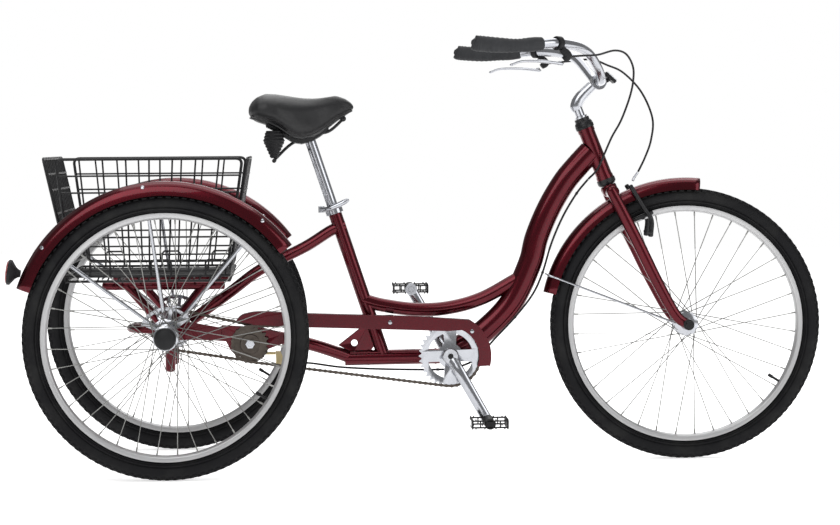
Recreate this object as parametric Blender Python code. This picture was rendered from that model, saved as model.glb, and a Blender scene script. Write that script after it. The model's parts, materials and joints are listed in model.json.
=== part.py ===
"""Adult tricycle: one steered wheel in front, a driven rear axle, fenders, a sprung saddle and a wire basket.

Metres. X runs forward, Y to the rider's left, Z up. The origin is on the ground, midway between the axles.
"""

import math

import bmesh
import bpy
from mathutils import Matrix, Vector

# Driving dimensions
WHEELBASE = 1.240
HALF_TRACK = 0.330
WHEEL_RADIUS = 0.328
TYRE_WIDTH = 0.047
RIM_RADIUS = 0.2855
RIM_INNER_RADIUS = 0.2705
RIM_WIDTH = 0.029
WHEEL_SEGMENTS = 26
SPOKES = 20
SPOKE_RADIUS = 0.0009
SPOKE_CROSSING = math.radians(68)
GAP = 0.0003

HEAD_LOW = Vector((0.428, 0, 0.679))
HEAD_HIGH = Vector((0.380, 0, 0.801))
HEAD_TUBE_RADIUS = 0.0195
STEERER_RADIUS = 0.0127
CROWN = Vector((0.4402, 0, 0.648))
SEAT_TUBE_LOW = Vector((-0.115, 0, 0.266))
SEAT_TUBE_HIGH = Vector((-0.2325, 0, 0.6195))
SEAT_TUBE_RADIUS = 0.016
SEAT_POST_RADIUS = 0.0130
SEAT_POST_BELOW = 0.150
SEAT_POST_ABOVE = 0.165

BRACKET = Vector((0.046, 0, 0.259))
CRANK_LENGTH = 0.175
CHAINRING_TEETH = 36
CHAINRING_Y = -0.060
PRIMARY_TEETH = 21
JACKSHAFT = Vector((-0.432, 0, 0.292))
DRIVE_TEETH = 21
DRIVE_Y = -0.033
AXLE_TEETH = 24
CHAIN_PITCH = 0.0127
AXLE_RADIUS = 0.0075

BASKET_HALF_WIDTH = 0.264
BASKET_FLOOR = 0.451
BASKET_TOP = 0.736

REAR_X = -WHEELBASE / 2
FRONT_X = WHEELBASE / 2
REAR_AXLE = Vector((REAR_X, 0, WHEEL_RADIUS))
FRONT_AXLE = Vector((FRONT_X, 0, WHEEL_RADIUS))
STEER_UP = (HEAD_HIGH - HEAD_LOW).normalized()
SEAT_UP = (SEAT_TUBE_HIGH - SEAT_TUBE_LOW).normalized()
SIDEWAYS = Vector((0, 1, 0))
UP = Vector((0, 0, 1))


def material(name, colour, roughness, metallic):
    """A Principled BSDF of one colour."""
    made = bpy.data.materials.new(name)
    made.use_nodes = True
    surface = made.node_tree.nodes["Principled BSDF"]
    surface.inputs["Base Color"].default_value = (*colour, 1)
    surface.inputs["Roughness"].default_value = roughness
    surface.inputs["Metallic"].default_value = metallic
    made.diffuse_color = (*colour, 1)
    return made


def make_materials():
    return {
        "paint": material("dark_red_paint", (0.20, 0.010, 0.022), 0.25, 0.4),
        "steel": material("bright_steel", (0.72, 0.72, 0.74), 0.25, 1.0),
        "alloy": material("satin_alloy", (0.62, 0.63, 0.65), 0.38, 1.0),
        "black": material("black_metal", (0.012, 0.012, 0.013), 0.45, 0.2),
        "rubber": material("tyre_rubber", (0.018, 0.018, 0.018), 0.8, 0.0),
        "grip": material("grip_rubber", (0.045, 0.045, 0.048), 0.75, 0.0),
        "vinyl": material("black_vinyl", (0.015, 0.015, 0.016), 0.5, 0.0),
        "plastic": material("black_plastic", (0.020, 0.020, 0.021), 0.5, 0.0),
        "chain": material("brown_steel", (0.20, 0.13, 0.08), 0.5, 0.9),
        "zinc": material("yellow_zinc", (0.62, 0.48, 0.20), 0.4, 0.9),
        "lens": material("clear_lens", (0.85, 0.86, 0.86), 0.2, 0.0),
        "red_lens": material("red_lens", (0.45, 0.01, 0.01), 0.2, 0.0),
    }


# Mesh helpers


def clear_scene():
    for each in list(bpy.data.objects):
        bpy.data.objects.remove(each, do_unlink=True)


def object_from(bm, name):
    """A linked object that takes over a bmesh, with its faces turned outwards."""
    bmesh.ops.recalc_face_normals(bm, faces=bm.faces)
    mesh = bpy.data.meshes.new(name)
    bm.to_mesh(mesh)
    bm.free()
    made = bpy.data.objects.new(name, mesh)
    bpy.context.scene.collection.objects.link(made)
    return made


def point(x, z, y=0.0):
    return Vector((x, y, z))


def frame_along(direction, side):
    """Two unit vectors square to a direction, the first as near to side as can be."""
    across = side - direction * side.dot(direction)
    if across.length < 1e-6:
        across = direction.orthogonal()
    across.normalize()
    return across, direction.cross(across)


def skin(bm, rings, closed=False):
    """Joins rings of points with quads, and caps the two ends of an open run."""
    made = [[bm.verts.new(each) for each in ring] for ring in rings]
    count = len(made[0])
    pairs = list(zip(made, made[1:]))
    if closed:
        pairs.append((made[-1], made[0]))
    for first, second in pairs:
        for i in range(count):
            j = (i + 1) % count
            bm.faces.new((first[i], first[j], second[j], second[i]))
    if not closed:
        bm.faces.new(made[0][::-1])
        bm.faces.new(made[-1])


def smooth_path(points, steps):
    """Points along a Catmull-Rom curve through the given points, with so many steps between two of them."""
    ends = [points[0] * 2 - points[1], *points, points[-1] * 2 - points[-2]]
    path = []
    for a, b, c, d in zip(ends, ends[1:], ends[2:], ends[3:]):
        for step in range(steps):
            t = step / steps
            bend = (2 * a - 5 * b + 4 * c - d) * t * t + (3 * b - a - 3 * c + d) * t * t * t
            path.append(b + ((c - a) * t + bend) / 2)
    path.append(points[-1].copy())
    return path


def sweep(name, path, radii, sides=8, side=SIDEWAYS, flatten=1.0, closed=False):
    """A tube along a path. Radii is one radius or one for each point, and flatten scales it towards side."""
    count = len(path)
    if not isinstance(radii, (list, tuple)):
        radii = [radii] * count
    rings = []
    for i, centre in enumerate(path):
        before = path[(i - 1) % count] if closed or i else centre
        after = path[(i + 1) % count] if closed or i < count - 1 else centre
        direction = (after - before).normalized()
        across, upward = frame_along(direction, side)
        bend = 1.0
        if before != centre and after != centre:
            bend = 1 / max(0.5, direction.dot((after - centre).normalized()))
        turns = [(k + 0.5) * math.tau / sides for k in range(sides)]
        rings.append(
            [
                centre
                + across * (math.cos(turn) * radii[i] * flatten)
                + upward * (math.sin(turn) * radii[i] * bend)
                for turn in turns
            ]
        )
    bm = bmesh.new()
    skin(bm, rings, closed)
    return object_from(bm, name)


def rod(name, start, end, radius, sides=12, end_radius=None):
    return sweep(name, [start, end], [radius, radius if end_radius is None else end_radius], sides)


def revolve(name, profile, centre, axis, segments, turned=0.5, reference=None):
    """Turns a closed outline of (radius, height) points about an axis. Its points must not lie on the axis."""
    across, upward = frame_along(axis, reference or Vector((1, 0, 0.001)))
    rings = []
    for i in range(segments):
        turn = (i + turned) * math.tau / segments
        outward = across * math.cos(turn) + upward * math.sin(turn)
        rings.append([centre + outward * radius + axis * height for radius, height in profile])
    bm = bmesh.new()
    skin(bm, rings, closed=True)
    return object_from(bm, name)


def lathe(name, profile, centre, axis, segments):
    """Stacks rings of (radius, height) along an axis into one solid, closed by a flat face at each end."""
    across, upward = frame_along(axis, Vector((1, 0, 0.001)))
    rings = []
    for radius, height in profile:
        ring = []
        for i in range(segments):
            turn = (i + 0.5) * math.tau / segments
            outward = across * math.cos(turn) + upward * math.sin(turn)
            ring.append(centre + outward * radius + axis * height)
        rings.append(ring)
    bm = bmesh.new()
    skin(bm, rings)
    return object_from(bm, name)


def plate(name, outline, near, far):
    """A flat outline of (x, z) points, thick from y = near to y = far."""
    bm = bmesh.new()
    skin(bm, [[Vector((x, y, z)) for x, z in outline] for y in (near, far)])
    return object_from(bm, name)


def slab(name, low, high):
    """A box between two opposite corners."""
    outline = [(low[0], low[2]), (high[0], low[2]), (high[0], high[2]), (low[0], high[2])]
    return plate(name, outline, low[1], high[1])


def arc_points(centre, radius, start, end, steps):
    """(x, z) points on an arc, from one angle to another in degrees."""
    turns = [math.radians(start + (end - start) * i / steps) for i in range(steps + 1)]
    return [(centre[0] + radius * math.cos(t), centre[1] + radius * math.sin(t)) for t in turns]


def boolean(base, others, operation):
    """Applies one exact Boolean with every other object at once, and removes those objects."""
    tools = bpy.data.collections.new("tools")
    for each in others:
        tools.objects.link(each)
    cut = base.modifiers.new("cut", "BOOLEAN")
    cut.solver = "EXACT"
    cut.operation = operation
    cut.operand_type = "COLLECTION"
    cut.collection = tools
    bpy.context.view_layer.update()
    graph = bpy.context.evaluated_depsgraph_get()
    result = bpy.data.meshes.new_from_object(base.evaluated_get(graph))
    base.modifiers.clear()
    base.data = result
    for each in others:
        bpy.data.objects.remove(each, do_unlink=True)
    bpy.data.collections.remove(tools)
    return base


def fuse(base, *others):
    return boolean(base, list(others), "UNION")


def carve(base, *others):
    for each in others:
        boolean(base, [each], "DIFFERENCE")
    return base


def finish(made, name, look, origin=None):
    """Names a piece, gives it its material and puts its origin where it turns."""
    made.name = name
    made.data.name = name
    made.data.materials.clear()
    made.data.materials.append(look)
    if origin is not None:
        made.data.transform(Matrix.Translation(-origin))
        made.location = origin
    made.data.shade_smooth()
    made.data.set_sharp_from_angle(angle=math.radians(40))
    return made


def mirrored(made, name):
    """A copy reflected to the other side of the tricycle."""
    mesh = made.data.copy()
    mesh.transform(Matrix.Scale(-1, 4, SIDEWAYS))
    mesh.flip_normals()
    copy = bpy.data.objects.new(name, mesh)
    mesh.name = name
    copy.location = (made.location[0], -made.location[1], made.location[2])
    bpy.context.scene.collection.objects.link(copy)
    return copy


# Frame


def make_frame(looks):
    head = rod("head", HEAD_LOW, HEAD_HIGH, HEAD_TUBE_RADIUS, 14)
    down_route = [
        point(0.392, 0.745),
        point(0.363, 0.714),
        point(0.328, 0.672),
        point(0.291, 0.610),
        point(0.261, 0.540),
        point(0.243, 0.474),
        point(0.197, 0.380),
        point(0.124, 0.307),
        point(0.050, 0.262),
    ]
    down = sweep("down", smooth_path(down_route, 2), 0.029, 10, flatten=0.8)
    lower_route = [
        point(-0.160, 0.391),
        point(-0.112, 0.378),
        point(-0.032, 0.367),
        point(0.048, 0.371),
        point(0.129, 0.3935),
        point(0.215, 0.440),
    ]
    lower = sweep("lower", smooth_path(lower_route, 2), 0.0165, 8)
    seat = rod("seat", SEAT_TUBE_LOW, SEAT_TUBE_HIGH, SEAT_TUBE_RADIUS, 14)
    beam = rod("beam", point(-0.205, 0.2515), point(0.046, 0.2540), 0.0185, 12)
    shell = rod("shell", point(0.046, 0.259, -0.036), point(0.046, 0.259, 0.036), 0.0235, 14)
    cups = rod("cups", point(0.046, 0.259, -0.0405), point(0.046, 0.259, 0.0405), 0.0195, 14)
    yoke_route = [
        point(-0.190, 0.2515),
        point(-0.225, 0.266, -0.012),
        point(-0.289, 0.288, -0.030),
        point(-0.366, 0.306, -0.035),
    ]
    yoke = sweep("yoke", smooth_path(yoke_route, 2), 0.015, 8)
    stay_route = [
        point(-0.200, 0.572),
        point(-0.235, 0.560),
        point(-0.300, 0.520),
        point(-0.405, 0.468),
        point(-0.480, 0.413),
        point(-0.575, 0.345),
    ]
    stay = sweep("stay", smooth_path(stay_route, 2), 0.0135, 8)
    plate_outline = [
        (-0.575, 0.305),
        (-0.490, 0.298),
        (-0.477, 0.273),
        (-0.418, 0.268),
        (-0.352, 0.292),
        (-0.352, 0.316),
        (-0.416, 0.332),
        (-0.495, 0.337),
    ]
    outer = plate("outer", plate_outline, -0.0510, -0.0470)
    inner = plate("inner", [p for p in plate_outline if p[0] > -0.48], -0.0230, -0.0190)
    gusset = carve(
        plate(
            "gusset",
            [(-0.185, 0.262), (-0.146, 0.262), (-0.122, 0.300), (-0.141, 0.345), (-0.221, 0.283)],
            -0.003,
            0.003,
        ),
        rod("hole", point(-0.182, 0.288, -0.01), point(-0.182, 0.288, 0.01), 0.008, 10),
    )
    inner_radius = STEERER_RADIUS + 0.0015
    cup_outline = [
        (inner_radius, -0.0155),
        (0.0180, -0.0155),
        (0.0225, -0.0100),
        (0.0225, 0.001),
        (inner_radius, 0.001),
    ]
    cup = revolve("cup", cup_outline, HEAD_LOW, STEER_UP, 14)
    frame = fuse(head, cup, down, lower, seat, beam, shell, yoke, stay, outer, inner, gusset, cups)
    carve(
        frame,
        rod("bore", HEAD_LOW - STEER_UP * 0.02, HEAD_HIGH + STEER_UP * 0.02, STEERER_RADIUS + 0.0015, 14),
        rod(
            "bore",
            SEAT_TUBE_HIGH - SEAT_UP * 0.25,
            SEAT_TUBE_HIGH + SEAT_UP * 0.02,
            SEAT_POST_RADIUS + 0.0005,
            16,
        ),
        rod("bore", point(0.046, 0.259, -0.05), point(0.046, 0.259, 0.05), 0.0089, 12),
        rod("bore", point(-0.432, 0.292, -0.06), point(-0.432, 0.292, 0), 0.0065, 12),
    )
    finish(frame, "main_frame", looks["paint"])


def make_rear_frame(looks):
    """The carrier of the rear axle and the basket, with its middle open round the axle sprocket."""
    axis_z = REAR_AXLE.z
    pieces = []
    for side in (-1, 1):
        start = -0.075 if side < 0 else 0.012
        pieces.append(
            rod("housing", point(REAR_X, axis_z, start), point(REAR_X, axis_z, side * 0.262), 0.0170, 12)
        )
        y = side * 0.195
        for x in (-0.715, -0.535):
            pieces.append(rod("post", point(REAR_X, axis_z + 0.005, y), point(x, 0.440, y), 0.0105, 6))
        pieces.append(rod("rail", point(-0.770, 0.440, y), point(-0.490, 0.440, y), 0.0095, 6))
    for x in (-0.740, -0.515):
        pieces.append(rod("cross", point(x, 0.440, -0.22), point(x, 0.440, 0.22), 0.0085, 6))
    bridge_route = [
        point(REAR_X, axis_z, -0.090),
        point(-0.690, axis_z + 0.004, -0.090),
        point(-0.715, axis_z + 0.004, -0.050),
        point(-0.690, axis_z + 0.004, 0.030),
        point(REAR_X, axis_z, 0.030),
    ]
    pieces.append(sweep("bridge", smooth_path(bridge_route, 2), 0.010, 6, side=UP))
    for y in (-0.110, 0.110):
        pieces.append(rod("tab", point(REAR_X, axis_z, y), point(REAR_X, 0.236, y), 0.0125, 6))
    mount = [(-0.640, 0.350), (-0.640, 0.306), (-0.500, 0.303), (-0.500, 0.333), (-0.590, 0.350)]
    pieces.append(plate("mount", mount, -0.0860, -0.0760))
    web = [(-0.512, 0.303), (-0.500, 0.303), (-0.500, 0.333), (-0.512, 0.333)]
    pieces.append(plate("web", web, -0.0790, -0.0513))
    frame = fuse(*pieces)
    carve(
        frame,
        rod("bore", point(REAR_X, axis_z, -0.3), point(REAR_X, axis_z, 0.3), AXLE_RADIUS + 0.001, 10),
    )
    finish(frame, "rear_frame", looks["paint"])


# Wheels


def make_tyre(name, centre, look):
    """A tyre whose tread has a flat facet exactly under the axle."""
    out = WHEEL_RADIUS / math.cos(math.pi / WHEEL_SEGMENTS)
    half = TYRE_WIDTH / 2
    side = [
        (RIM_RADIUS - 0.0045, 0.0105),
        (RIM_RADIUS + 0.0025, 0.0112),
        (out - 0.022, half),
        (out - 0.006, half * 0.68),
        (out, half * 0.30),
    ]
    profile = side + [(radius, -height) for radius, height in reversed(side)]
    return finish(
        revolve("tyre", profile, centre, SIDEWAYS, WHEEL_SEGMENTS, reference=-UP),
        name,
        look,
        centre,
    )


def rim_ring(centre):
    half = RIM_WIDTH / 2
    side = [
        (RIM_INNER_RADIUS, half * 0.42),
        (RIM_RADIUS - 0.009, half),
        (RIM_RADIUS, half),
        (RIM_RADIUS - 0.0050, half - 0.0034),
    ]
    profile = side + [(radius, -height) for radius, height in reversed(side)]
    return revolve("rim", profile, centre, SIDEWAYS, WHEEL_SEGMENTS, reference=-UP)


def make_wheel(name, centre, half, bore, look):
    """A hub shell with two flanges, laced to its rim by crossed spokes."""
    outline = [
        (bore, half),
        (0.0135, half),
        (0.0160, half - 0.009),
        (0.0290, half - 0.010),
        (0.0290, half - 0.015),
        (0.0160, half - 0.017),
    ]
    profile = outline + [(radius, -height) for radius, height in reversed(outline)]
    pieces = [revolve("hub", profile, centre, SIDEWAYS, 10)]
    for i in range(SPOKES):
        side = 1 if i % 2 else -1
        lean = 1 if (i // 2) % 2 else -1
        rim_turn = (i + 0.5) * math.tau / SPOKES
        hub_turn = rim_turn + lean * SPOKE_CROSSING
        inner = Vector((math.cos(hub_turn), 0, math.sin(hub_turn))) * 0.0265
        inner.y = side * (half - 0.0125 + lean * 0.0020)
        outer = Vector((math.cos(rim_turn), 0, math.sin(rim_turn))) * (RIM_INNER_RADIUS + 0.0020)
        pieces.append(rod("spoke", centre + inner, centre + outer, SPOKE_RADIUS, 3))
    return finish(fuse(rim_ring(centre), *pieces), name, look, centre)


def make_wheels(looks):
    left = REAR_AXLE + SIDEWAYS * HALF_TRACK
    right = REAR_AXLE - SIDEWAYS * HALF_TRACK
    places = (
        ("front", FRONT_AXLE, 0.038, 0.0057),
        ("left", left, 0.040, AXLE_RADIUS + 0.0008),
        ("right", right, 0.040, AXLE_RADIUS + 0.0008),
    )
    for name, centre, half, bore in places:
        make_tyre(name + "_tyre", centre, looks["rubber"])
        make_wheel(name + "_wheel", centre, half, bore, looks["alloy"])
    for name, side in (("left", 1), ("right", -1)):
        cap = [(0.0245, 0.0), (0.0255, 0.006), (0.0220, 0.016), (0.0120, 0.021)]
        start = REAR_AXLE + SIDEWAYS * side * 0.3755
        finish(lathe("cap", cap, start, SIDEWAYS * side, 16), name + "_hub_cap", looks["plastic"], start)
    axle = rod("axle", point(FRONT_X, WHEEL_RADIUS, -0.078), point(FRONT_X, WHEEL_RADIUS, 0.078), 0.0050, 10)
    ends = []
    for side in (-1, 1):
        nut = [(0.0130, 0.0670), (0.0130, 0.0740), (0.0090, 0.0830)]
        ends.append(lathe("nut", nut, FRONT_AXLE, SIDEWAYS * side, 12))
    finish(fuse(axle, *ends), "front_axle", looks["black"], FRONT_AXLE.copy())


# Drive


def sprocket_outline(centre, teeth):
    """(x, z) points round a toothed disc: one at each root and two at each tip."""
    pitch_radius = CHAIN_PITCH / (2 * math.sin(math.pi / teeth))
    outline = []
    for i in range(teeth):
        for share, rise in ((-0.5, -0.0038), (-0.16, 0.0022), (0.16, 0.0022)):
            turn = (i + share) * math.tau / teeth
            radius = pitch_radius + rise
            outline.append((centre.x + radius * math.cos(turn), centre.z + radius * math.sin(turn)))
    return outline


def toothed_disc(centre, teeth, y):
    return plate("disc", sprocket_outline(centre, teeth), y - 0.0011, y + 0.0011)


def pitch_radius(teeth):
    return CHAIN_PITCH / (2 * math.sin(math.pi / teeth))


def make_chain(name, front, front_teeth, rear, rear_teeth, y, look):
    """A belt of links round two sprockets, grooved on its inner side so that the teeth run through it."""
    first, second = pitch_radius(front_teeth), pitch_radius(rear_teeth)
    along = math.atan2(front.z - rear.z, front.x - rear.x)
    distance = math.hypot(front.x - rear.x, front.z - rear.z)
    lean = math.asin((first - second) / distance)
    route = []
    steps = 12
    for i in range(steps + 1):
        turn = along - math.pi / 2 - lean + (math.pi + 2 * lean) * i / steps
        route.append((front, first, turn))
    for i in range(steps + 1):
        turn = along + math.pi / 2 + lean + (math.pi - 2 * lean) * i / steps
        route.append((rear, second, turn))
    section = [
        (0.0040, 0.0044),
        (-0.0040, 0.0044),
        (-0.0040, -0.0040),
        (-0.0022, -0.0040),
        (-0.0022, 0.0038),
        (0.0022, 0.0038),
        (0.0022, -0.0040),
        (0.0040, -0.0040),
    ]
    rings = []
    for centre, radius, turn in route:
        outward = Vector((math.cos(turn), 0, math.sin(turn)))
        middle = Vector((centre.x, y, centre.z)) + outward * radius
        rings.append([middle + outward * rise + SIDEWAYS * across for across, rise in section])
    bm = bmesh.new()
    skin(bm, rings, closed=True)
    return finish(object_from(bm, name), name, look)


def make_drive(looks):
    ring_centre = Vector((BRACKET.x, CHAINRING_Y, BRACKET.z))
    ring = toothed_disc(ring_centre, CHAINRING_TEETH, CHAINRING_Y)
    windows = []
    for i in range(4):
        middle = math.degrees(math.tau * (i + 0.5) / 4)
        outline = arc_points((BRACKET.x, BRACKET.z), 0.060, middle - 32, middle + 32, 3)
        outline += arc_points((BRACKET.x, BRACKET.z), 0.033, middle + 24, middle - 24, 2)
        windows.append(plate("window", outline, CHAINRING_Y - 0.01, CHAINRING_Y + 0.01))
    carve(ring, *windows)
    carve(ring, rod("bore", BRACKET - SIDEWAYS * 0.09, BRACKET - SIDEWAYS * 0.03, 0.0123, 16))
    finish(ring, "chainring", looks["steel"], ring_centre)
    turn = math.atan2(0.103 - BRACKET.z, 0.134 - BRACKET.x)
    reach = Vector((math.cos(turn), 0, math.sin(turn))) * CRANK_LENGTH
    for name, side, near in (("right", -1, 0.064), ("left", 1, 0.064)):
        tip = BRACKET - reach * side
        arm_path = [
            BRACKET + SIDEWAYS * side * (near + 0.009),
            BRACKET + (tip - BRACKET) * 0.25 + SIDEWAYS * side * (near + 0.0230),
            BRACKET + (tip - BRACKET) * 0.9 + SIDEWAYS * side * (near + 0.030),
            tip + SIDEWAYS * side * (near + 0.031),
        ]
        arm = sweep("arm", arm_path, [0.0150, 0.0135, 0.0125, 0.0125], 8, flatten=0.55)
        boss = rod(
            "boss",
            BRACKET + SIDEWAYS * side * near,
            BRACKET + SIDEWAYS * side * (near + 0.019),
            0.019,
            14,
        )
        eye = rod(
            "eye",
            tip + SIDEWAYS * side * (near + 0.022),
            tip + SIDEWAYS * side * (near + 0.040),
            0.0145,
            12,
        )
        hub = rod(
            "hub",
            BRACKET + SIDEWAYS * side * 0.0545,
            BRACKET + SIDEWAYS * side * (near + 0.01),
            0.0120,
            14,
        )
        crank = fuse(arm, boss, eye, hub)
        pin_centre = tip + SIDEWAYS * side * near
        carve(
            crank,
            rod("bore", pin_centre, tip + SIDEWAYS * side * (near + 0.06), 0.0073, 12),
        )
        spindle = rod("spindle", BRACKET + SIDEWAYS * 0.070, BRACKET - SIDEWAYS * 0.070, 0.0085, 12)
        if side > 0:
            fuse(crank, spindle)
        else:
            spindle.data.transform(
                Matrix.Translation(BRACKET) @ Matrix.Scale(1.035, 4) @ Matrix.Translation(-BRACKET)
            )
            carve(crank, spindle)
        finish(crank, name + "_crank", looks["steel"], BRACKET.copy())
        make_pedal(name, tip, side, near, looks)
    make_chain(
        "primary_chain",
        BRACKET,
        CHAINRING_TEETH,
        JACKSHAFT,
        PRIMARY_TEETH,
        CHAINRING_Y,
        looks["chain"],
    )
    make_chain("drive_chain", JACKSHAFT, DRIVE_TEETH, REAR_AXLE, AXLE_TEETH, DRIVE_Y, looks["chain"])
    freewheel = toothed_disc(JACKSHAFT, PRIMARY_TEETH, CHAINRING_Y)
    boss = rod("boss", JACKSHAFT - SIDEWAYS * 0.0640, JACKSHAFT - SIDEWAYS * 0.0553, 0.024, 14)
    carve(
        fuse(freewheel, boss),
        rod("bore", JACKSHAFT - SIDEWAYS * 0.07, JACKSHAFT - SIDEWAYS * 0.05, 0.0064, 12),
    )
    finish(freewheel, "freewheel", looks["chain"], JACKSHAFT.copy())
    shaft = rod("shaft", JACKSHAFT - SIDEWAYS * 0.0720, JACKSHAFT + SIDEWAYS * 0.0180, 0.0060, 12)
    nut = rod("nut", JACKSHAFT - SIDEWAYS * 0.0740, JACKSHAFT - SIDEWAYS * 0.0645, 0.0110, 6)
    drum = rod("drum", JACKSHAFT - SIDEWAYS * 0.0120, JACKSHAFT + SIDEWAYS * 0.0120, 0.0340, 20)
    fuse(shaft, nut, drum, toothed_disc(JACKSHAFT, DRIVE_TEETH, DRIVE_Y))
    finish(shaft, "jackshaft", looks["steel"], JACKSHAFT.copy())
    left_side = REAR_AXLE + SIDEWAYS * 0.3745
    axle = rod("axle", REAR_AXLE - SIDEWAYS * 0.3745, left_side, AXLE_RADIUS, 14)
    fuse(
        axle,
        toothed_disc(REAR_AXLE, AXLE_TEETH, DRIVE_Y),
        rod("boss", point(REAR_X, WHEEL_RADIUS, -0.048), point(REAR_X, WHEEL_RADIUS, 0.000), 0.016, 12),
    )
    finish(axle, "rear_axle", looks["steel"], REAR_AXLE.copy())


def make_pedal(name, tip, side, near, looks):
    """A cage pedal: a spindle, a barrel and a flat cage with two openings."""
    start = near + 0.0415
    spindle = rod(
        "spindle",
        tip + SIDEWAYS * side * (near + 0.020),
        tip + SIDEWAYS * side * (start + 0.020),
        0.0070,
        10,
    )
    barrel = rod(
        "barrel",
        tip + SIDEWAYS * side * (start + 0.002),
        tip + SIDEWAYS * side * (start + 0.092),
        0.0130,
        10,
    )
    low = Vector((tip.x - 0.044, side * start, tip.z - 0.0125))
    high = Vector((tip.x + 0.044, side * (start + 0.092), tip.z + 0.0125))
    cage = slab("cage", (low.x, min(low.y, high.y), low.z), (high.x, max(low.y, high.y), high.z))
    openings = []
    for x in (tip.x - 0.023, tip.x + 0.023):
        y = side * (start + 0.046)
        openings.append(
            slab("opening", (x - 0.013, y - 0.037, tip.z - 0.03), (x + 0.013, y + 0.037, tip.z + 0.03))
        )
    pedal = fuse(carve(cage, *openings), spindle, barrel)
    finish(pedal, name + "_pedal", looks["plastic"], tip + SIDEWAYS * side * (start + 0.046))


def make_chain_guard(looks):
    """A channel over the upper run of the primary chain, open towards the chain, with a rounded front end."""
    outer = [
        (-0.465, 0.348),
        (-0.440, 0.366),
        (-0.400, 0.370),
        (-0.289, 0.364),
        (-0.075, 0.356),
        (0.044, 0.349),
    ]
    outer += arc_points((BRACKET.x, BRACKET.z), 0.098, 62, -14, 6)
    inner = arc_points((BRACKET.x, BRACKET.z), 0.068, -22, 66, 5)
    inner += [(0.040, 0.319), (-0.115, 0.325), (-0.289, 0.331), (-0.420, 0.338)]
    face = plate("face", outer + inner, -0.0770, -0.0750)
    lip_outline = outer + [(x * 0.985 - 0.0009 if x > 0 else x, z - 0.0022) for x, z in reversed(outer)]
    lip = plate("lip", lip_outline, -0.0755, -0.0450)
    clip = slab("clip", (-0.110, -0.0760, 0.3535), (-0.086, 0.0030, 0.3560))
    guard = fuse(face, lip, clip)
    finish(guard, "chain_guard", looks["paint"])


# Steering


def steer(along, forward=0.0, side=0.0):
    """A point by its distance up the steering axis from the bottom of the head tube, then square to the axis."""
    ahead = Vector((STEER_UP.z, 0, -STEER_UP.x))
    return HEAD_LOW + STEER_UP * along + ahead * forward + SIDEWAYS * side


def make_steering(looks):
    steerer = rod("steerer", CROWN, steer(0.160), STEERER_RADIUS, 16)
    crown = rod("crown", CROWN - SIDEWAYS * 0.062, CROWN + SIDEWAYS * 0.062, 0.0150, 12)
    race = rod("race", CROWN, steer(-0.0163), 0.0185, 14)
    parts = [steerer, crown, race]
    for side in (-1, 1):
        route = [
            point(0.434, 0.655, side * 0.056),
            point(0.461, 0.603, side * 0.056),
            point(0.502, 0.521, side * 0.056),
            point(0.545, 0.433, side * 0.056),
            point(0.590, 0.352, side * 0.056),
            point(0.6225, 0.3255, side * 0.056),
        ]
        radii = [0.0120, 0.0135, 0.0140, 0.0145, 0.0145, 0.0145, 0.0140, 0.0135, 0.0130, 0.0125, 0.0125]
        parts.append(sweep("blade", smooth_path(route, 2), radii, 6, flatten=0.75))
    fork = fuse(*parts)
    carve(fork, rod("bore", FRONT_AXLE - SIDEWAYS * 0.1, FRONT_AXLE + SIDEWAYS * 0.1, 0.0056, 12))
    finish(fork, "fork", looks["paint"], HEAD_LOW.copy())
    inner = STEERER_RADIUS + 0.0006
    high = [(inner, GAP), (0.0225, GAP), (0.0225, 0.010), (0.0185, 0.018), (0.0170, 0.0268), (inner, 0.0268)]
    finish(revolve("cup", high, HEAD_HIGH, STEER_UP, 14), "upper_headset_cup", looks["black"])
    make_stem_and_bar(looks)
    make_front_brake(looks)
    make_front_fender(looks)


CLAMP = Vector((0.412, 0, 0.913))


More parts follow.
